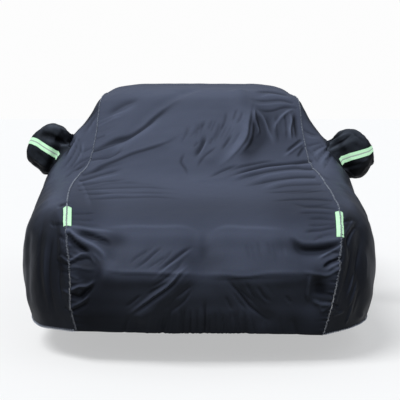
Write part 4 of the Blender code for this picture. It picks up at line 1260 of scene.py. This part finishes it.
stitchMesh = oneStitch()
threads = {}
for sign, side in sides.items():
    inner, outer = (0, -1) if sign < 0 else (-1, 0)   # the seam's column in the long and the side panel
    seam = (sidePoints[sign][:, outer] + middlePoints[:, inner]) / 2
    out = facing(middlePoints)[:, inner] + facing(sidePoints[sign])[:, outer]
    out /= np.linalg.norm(out, axis=-1, keepdims=True) + 1e-9
    threads["seam", sign] = laidAlong("seamThread" + side.title(), seam, out, stitching["pitch"],
                                      seamReach, seamTone)
    reach = hemStitch["reach"][sign]
    threads["hem", sign] = laidAlong("hemThread" + side.title(), *hemLine(sign), hemStitch["pitch"],
                                     lambda stops: np.full(len(stops), reach), np.ones_like)
print("threads", len(threads))


# finishes
# the cloth's colour holds painted sky light on what faces up and painted shade on the flanks and low down
clothLook = {
    "pale": (0.0765, 0.0905, 0.135),      # painted sky light: the lighter colour where it faces the sky
    "deep": (0.0085, 0.0098, 0.0130),     # painted shade: flanks and lower front
    "upwards": (-0.45, 0.95),             # how far it faces up, from the painted shade to the painted sky light
    "low": (-1.25, -0.80, 0.72),          # two heights, and the share of the painted sky light left at the lower one
    "sideways": ((0.35, 1.0), (0.86, 0.14), (1.0, 0.55)),   # share of the painted sky light left by how far it faces sideways
    "blotch": {"Scale": 2.6, "Detail": 5.0},
    "blotches": (0.16, -0.08),            # how strong, and half of it taken off, so that the mean stays
    "dust": {"Scale": 140.0, "Detail": 2.0},
    "dusty": 0.22,                        # how much of the dust shows
    "roughness": (0.37, 0.53),
    "shader": {
        "Specular IOR Level": 0.22,
        "IOR": 1.12,
        "Sheen Weight": 0.015,
        "Sheen Roughness": 0.45,
        "Sheen Tint": (0.62, 0.70, 0.95, 1.0),
    },
    # bumps: strength, then distance in metres
    "thread": 0.00045,                    # pitch of the weave in metres
    "uneven": 0.4,                        # how much the weave wanders
    "weave": (0.25, 0.00006),
    "crinkle": {"Scale": 38.0, "Detail": 5.0, "Distortion": 0.6},
    "crinkles": (0.35, 0.0016),
    "crease": {"Scale": 9.0, "Detail": 3.0, "Distortion": 1.2},
    "creases": (0.30, 0.006),
    "wrinkled": 1.0,                      # times the strength of the crinkles and creases
}
# the pockets take the same painted sky light and painted shade, in darker colours
pocketLook = {**clothLook, "pale": (0.042, 0.050, 0.066), "deep": (0.0065, 0.0075, 0.009), "wrinkled": 1.3}
tapeLook = {
    "green": (0.48, 0.80, 0.52),
    "grey": (0.30, 0.36, 0.33),
    "edge": (0.03, 0.10, 0.05),
    "bands": (0.05, 0.42, 0.58, 0.95),    # where green, grey, green and the far edge begin
    "stain": {"Scale": 24.0, "Detail": 4.0},
    "stains": ((0.2, 0.86), (0.8, 1.0)),
    # the tape glows: painted light for its bright retroreflection
    "shader": {"Roughness": 0.38, "Emission Strength": 0.38},
    "beads": 900.0,
    "beaded": (0.2, 0.0002),              # strength and distance of the bump
}
threadLook = {
    "pale": (0.30, 0.335, 0.41),
    "deep": (0.10, 0.115, 0.15),
    "wearAndShade": {"Scale": 60.0, "Detail": 4.0},
    "wornAndShaded": (0.30, 0.60),
    "shader": {"Roughness": 0.7},
    "ply": 420.0,
    "plied": (0.4, 0.0003),               # strength and distance of the bump
}
waveScale = 0.314   # a wave texture of this scale has one band to the metre


def newMaterial(name):
    material = bpy.data.materials.new(name)
    material.use_nodes = True
    return material, material.node_tree, material.node_tree.nodes["Principled BSDF"]


def setInputs(tree, node, inputs):
    # an input takes a value, or a link from another node's output
    for name, value in inputs.items():
        if isinstance(value, bpy.types.NodeSocket):
            tree.links.new(value, node.inputs[name])
        else:
            node.inputs[name].default_value = value


def addNode(tree, kind, inputs, **settings):
    node = tree.nodes.new("ShaderNode" + kind)
    for name, value in settings.items():
        setattr(node, name, value)
    setInputs(tree, node, inputs)
    return node


def calculated(tree, operation, *values, clamped=False):
    return addNode(tree, "Math", dict(enumerate(values)), operation=operation, use_clamp=clamped).outputs[0]


def multiplied(tree, base, layer, factor=1.0):
    inputs = {"Factor": factor, "A": base, "B": layer}
    return addNode(tree, "Mix", inputs, data_type="RGBA", blend_type="MULTIPLY").outputs["Result"]


def ranged(tree, value, low=0.0, high=1.0, lowTo=0.0, highTo=1.0):
    inputs = {"Value": value, "From Min": low, "From Max": high, "To Min": lowTo, "To Max": highTo}
    return addNode(tree, "MapRange", inputs).outputs[0]


def noise(tree, place, look):
    return addNode(tree, "TexNoise", {"Vector": place, **look})


def ramp(tree, value, stops, interpolation="LINEAR"):
    # each stop is its place and a colour, or one number for a grey
    node = addNode(tree, "ValToRGB", {"Fac": value})
    elements = node.color_ramp.elements
    node.color_ramp.interpolation = interpolation
    while len(elements) < len(stops):
        elements.new(1.0)
    for element, (place, colour) in zip(elements, stops):
        element.position = place
        element.color = (*(colour if isinstance(colour, tuple) else (colour,) * 3), 1.0)
    return node.outputs["Color"]


def bumps(tree, *layers):
    # one bump over another, each with its height, strength and distance
    normal = {}
    for height, strength, distance in layers:
        inputs = {"Height": height, "Strength": strength, "Distance": distance, **normal}
        normal = {"Normal": addNode(tree, "Bump", inputs).outputs["Normal"]}
    return normal["Normal"]


def wovenCloth(name, look):
    material, tree, shader = newMaterial(name)
    place = addNode(tree, "TexCoord", {}).outputs["Object"]
    flat = addNode(tree, "UVMap", {}, uv_map="flat").outputs["UV"]
    normal = addNode(tree, "SeparateXYZ", {0: addNode(tree, "NewGeometry", {}).outputs["Normal"]}).outputs
    height = addNode(tree, "SeparateXYZ", {0: place}).outputs["Z"]
    # colour: painted sky light where it faces up, painted shade below and on the flanks, with soft blotches
    # and dust
    paintedLightAndBlotches = calculated(tree, "MULTIPLY", ranged(tree, normal["Z"], *look["upwards"]),
                       ranged(tree, height, *look["low"]))
    aside = calculated(tree, "ABSOLUTE", normal["X"])
    paintedLightAndBlotches = calculated(tree, "MULTIPLY", paintedLightAndBlotches, ramp(tree, aside, look["sideways"], "EASE"))
    blotch = noise(tree, place, look["blotch"]).outputs["Fac"]
    shift = calculated(tree, "MULTIPLY_ADD", blotch, *look["blotches"])
    paintedLightAndBlotches = calculated(tree, "ADD", paintedLightAndBlotches, shift, clamped=True)
    colour = ramp(tree, paintedLightAndBlotches, ((0.0, look["deep"]), (1.0, look["pale"])))
    colour = multiplied(tree, colour, noise(tree, place, look["dust"]).outputs["Color"], look["dusty"])
    # painted highlight on the ridges, painted shade in the valleys, with the zones' painted light and shade
    ridge = ranged(tree, addNode(tree, "Attribute", {}, attribute_name="ridge").outputs["Fac"], -1.0)
    wornAndShaded = ramp(tree, ridge, ((0.0, wearAndShade["valley"]), (0.5, 1.0), (1.0, wearAndShade["ridge"])))
    roughness = ranged(tree, blotch, 0.0, 1.0, *look["roughness"])
    # bump: plain weave, then fine crinkles and soft creases
    bands = {"Vector": flat, "Scale": waveScale / look["thread"], "Distortion": look["uneven"]}
    weave = calculated(tree, "MULTIPLY", *(
        addNode(tree, "TexWave", bands, bands_direction=direction).outputs["Fac"] for direction in "XY"
    ))
    crinkle, crease = (noise(tree, place, look[layer]).outputs["Fac"] for layer in ("crinkle", "crease"))
    (crinkled, crinkleDeep), (creased, creaseDeep) = look["crinkles"], look["creases"]
    bumped = bumps(tree, (weave, *look["weave"]), (crinkle, crinkled * look["wrinkled"], crinkleDeep),
                   (crease, creased * look["wrinkled"], creaseDeep))
    setInputs(tree, shader, {
        "Base Color": multiplied(tree, colour, wornAndShaded),
        "Roughness": roughness,
        "Normal": bumped,
        **look["shader"],
    })
    return material


def reflectiveTape(name, look):
    material, tree, shader = newMaterial(name)
    place = addNode(tree, "TexCoord", {}).outputs["Object"]
    flat = addNode(tree, "UVMap", {}, uv_map="flat").outputs["UV"]
    across = addNode(tree, "SeparateXYZ", {0: flat}).outputs["X"]
    colours = [look[kind] for kind in ("edge", "green", "grey", "green", "edge")]
    bands = ramp(tree, across, list(zip((0.0, *look["bands"]), colours)), "CONSTANT")
    stain = ramp(tree, noise(tree, place, look["stain"]).outputs["Fac"], look["stains"])
    colour = multiplied(tree, bands, stain)
    beads = addNode(tree, "TexVoronoi", {"Vector": place, "Scale": look["beads"]}).outputs["Distance"]
    bumped = bumps(tree, (beads, *look["beaded"]))
    setInputs(tree, shader, {
        "Base Color": colour,
        # painted light: the tape glows in its own colours
        "Emission Color": colour,
        "Normal": bumped,
        **look["shader"],
    })
    return material


def spunThread(name, look):
    material, tree, shader = newMaterial(name)
    place = addNode(tree, "TexCoord", {}).outputs["Object"]
    wornAndShaded = noise(tree, place, look["wearAndShade"]).outputs["Fac"]
    colour = ramp(tree, wornAndShaded, list(zip(look["wornAndShaded"], (look["deep"], look["pale"]))))
    tone = addNode(tree, "Attribute", {}, attribute_name="tone").outputs["Fac"]
    dimmed = addNode(tree, "VectorMath", {0: colour, "Scale": tone}, operation="SCALE").outputs["Vector"]
    ply = addNode(tree, "TexWave", {"Vector": place, "Scale": look["ply"]}).outputs["Fac"]
    bumped = bumps(tree, (ply, *look["plied"]))
    setInputs(tree, shader, {"Base Color": dimmed, "Normal": bumped, **look["shader"]})
    return material


clothFinish = wovenCloth("coverCloth", clothLook)
pocketFinish = wovenCloth("pocketCloth", pocketLook)
tapeFinish = reflectiveTape("reflectiveTape", tapeLook)
threadFinish = spunThread("overlockThread", threadLook)


def dressed(piece, finish, slot, *nodes):
    piece.data.materials.clear()
    piece.data.materials.append(finish)
    if nodes:
        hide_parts(*nodes)
    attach(piece, "root")


dressed(longPanel, clothFinish, "cover_cloth", "centre_panel")
for sign, side in sides.items():
    dressed(sidePanels[sign], clothFinish, "cover_cloth", f"side_panel_{side}")
    dressed(pockets[sign], pocketFinish, "pocket_cloth", f"mirror_pocket_{side}")
    dressed(strips["corner", sign], tapeFinish, "reflective_strip", f"strip_corner_{side}")
    dressed(strips["pocket", sign], tapeFinish, "reflective_strip", f"strip_pocket_{side}")
    for kind in ("seam", "hem"):
        dressed(threads[kind, sign], threadFinish, "seam_thread")
print("finishes done")

# floor, backdrop and light
studio = {
    "size": 400,
    "paper": ((0.3, (0.495, 0.49797, 0.50094)), (0.7, (0.50, 0.503, 0.506))),
    "grain": {"Scale": 3.0},
    # a light table, so the shadow stays pale
    "shader": {
        "Roughness": 0.9,
        "Specular IOR Level": 0.1,
        "Emission Color": (0.99, 0.995, 1.0, 1.0),
        "Emission Strength": 0.47,
    },
    "fill": {"Color": (0.93, 0.96, 1.0, 1.0), "Strength": 0.40},
    "backdrop": {"Color": (1.0, 1.0, 1.0, 1.0), "Strength": 0.98},
}
deselectAll()
bpy.ops.mesh.primitive_plane_add(size=studio["size"], location=(0, 0, ground))
floor = bpy.context.object
floor.name = "studioFloor"
bpy.ops.object.transform_apply(location=True, rotation=True, scale=True)
floorFinish, tree, shader = newMaterial("studioPaper")
grain = noise(tree, addNode(tree, "TexCoord", {}).outputs["Object"], studio["grain"]).outputs["Fac"]
setInputs(tree, shader, {"Base Color": ramp(tree, grain, studio["paper"]), **studio["shader"]})
floor.data.materials.append(floorFinish)

# a white backdrop to look at, and a dimmer fill from all round
world = bpy.data.worlds.new("studioSky")
bpy.context.scene.world = world
world.use_nodes = True
tree = world.node_tree
fill = tree.nodes["Background"]
setInputs(tree, fill, studio["fill"])
backdrop = addNode(tree, "Background", studio["backdrop"])
seen = addNode(tree, "LightPath", {}).outputs["Is Camera Ray"]
chosen = addNode(tree, "MixShader", {"Fac": seen, 1: fill.outputs[0], 2: backdrop.outputs[0]})
setInputs(tree, tree.nodes["World Output"], {"Surface": chosen.outputs[0]})

# one broad soft light from high in front, a little to the left; angles in degrees
softKey = {"place": (0, -3, 6), "strength": 2.3, "spread": 30, "forward": 20, "aside": 24}
deselectAll()
tilts = (math.radians(softKey["forward"]), math.radians(-softKey["aside"]), 0)
bpy.ops.object.light_add(type="SUN", location=softKey["place"], rotation=tilts)
light = bpy.context.object
light.name = "softKey"
light.data.energy = softKey["strength"]
light.data.angle = math.radians(softKey["spread"])
bpy.context.scene.view_settings.view_transform = "Standard"
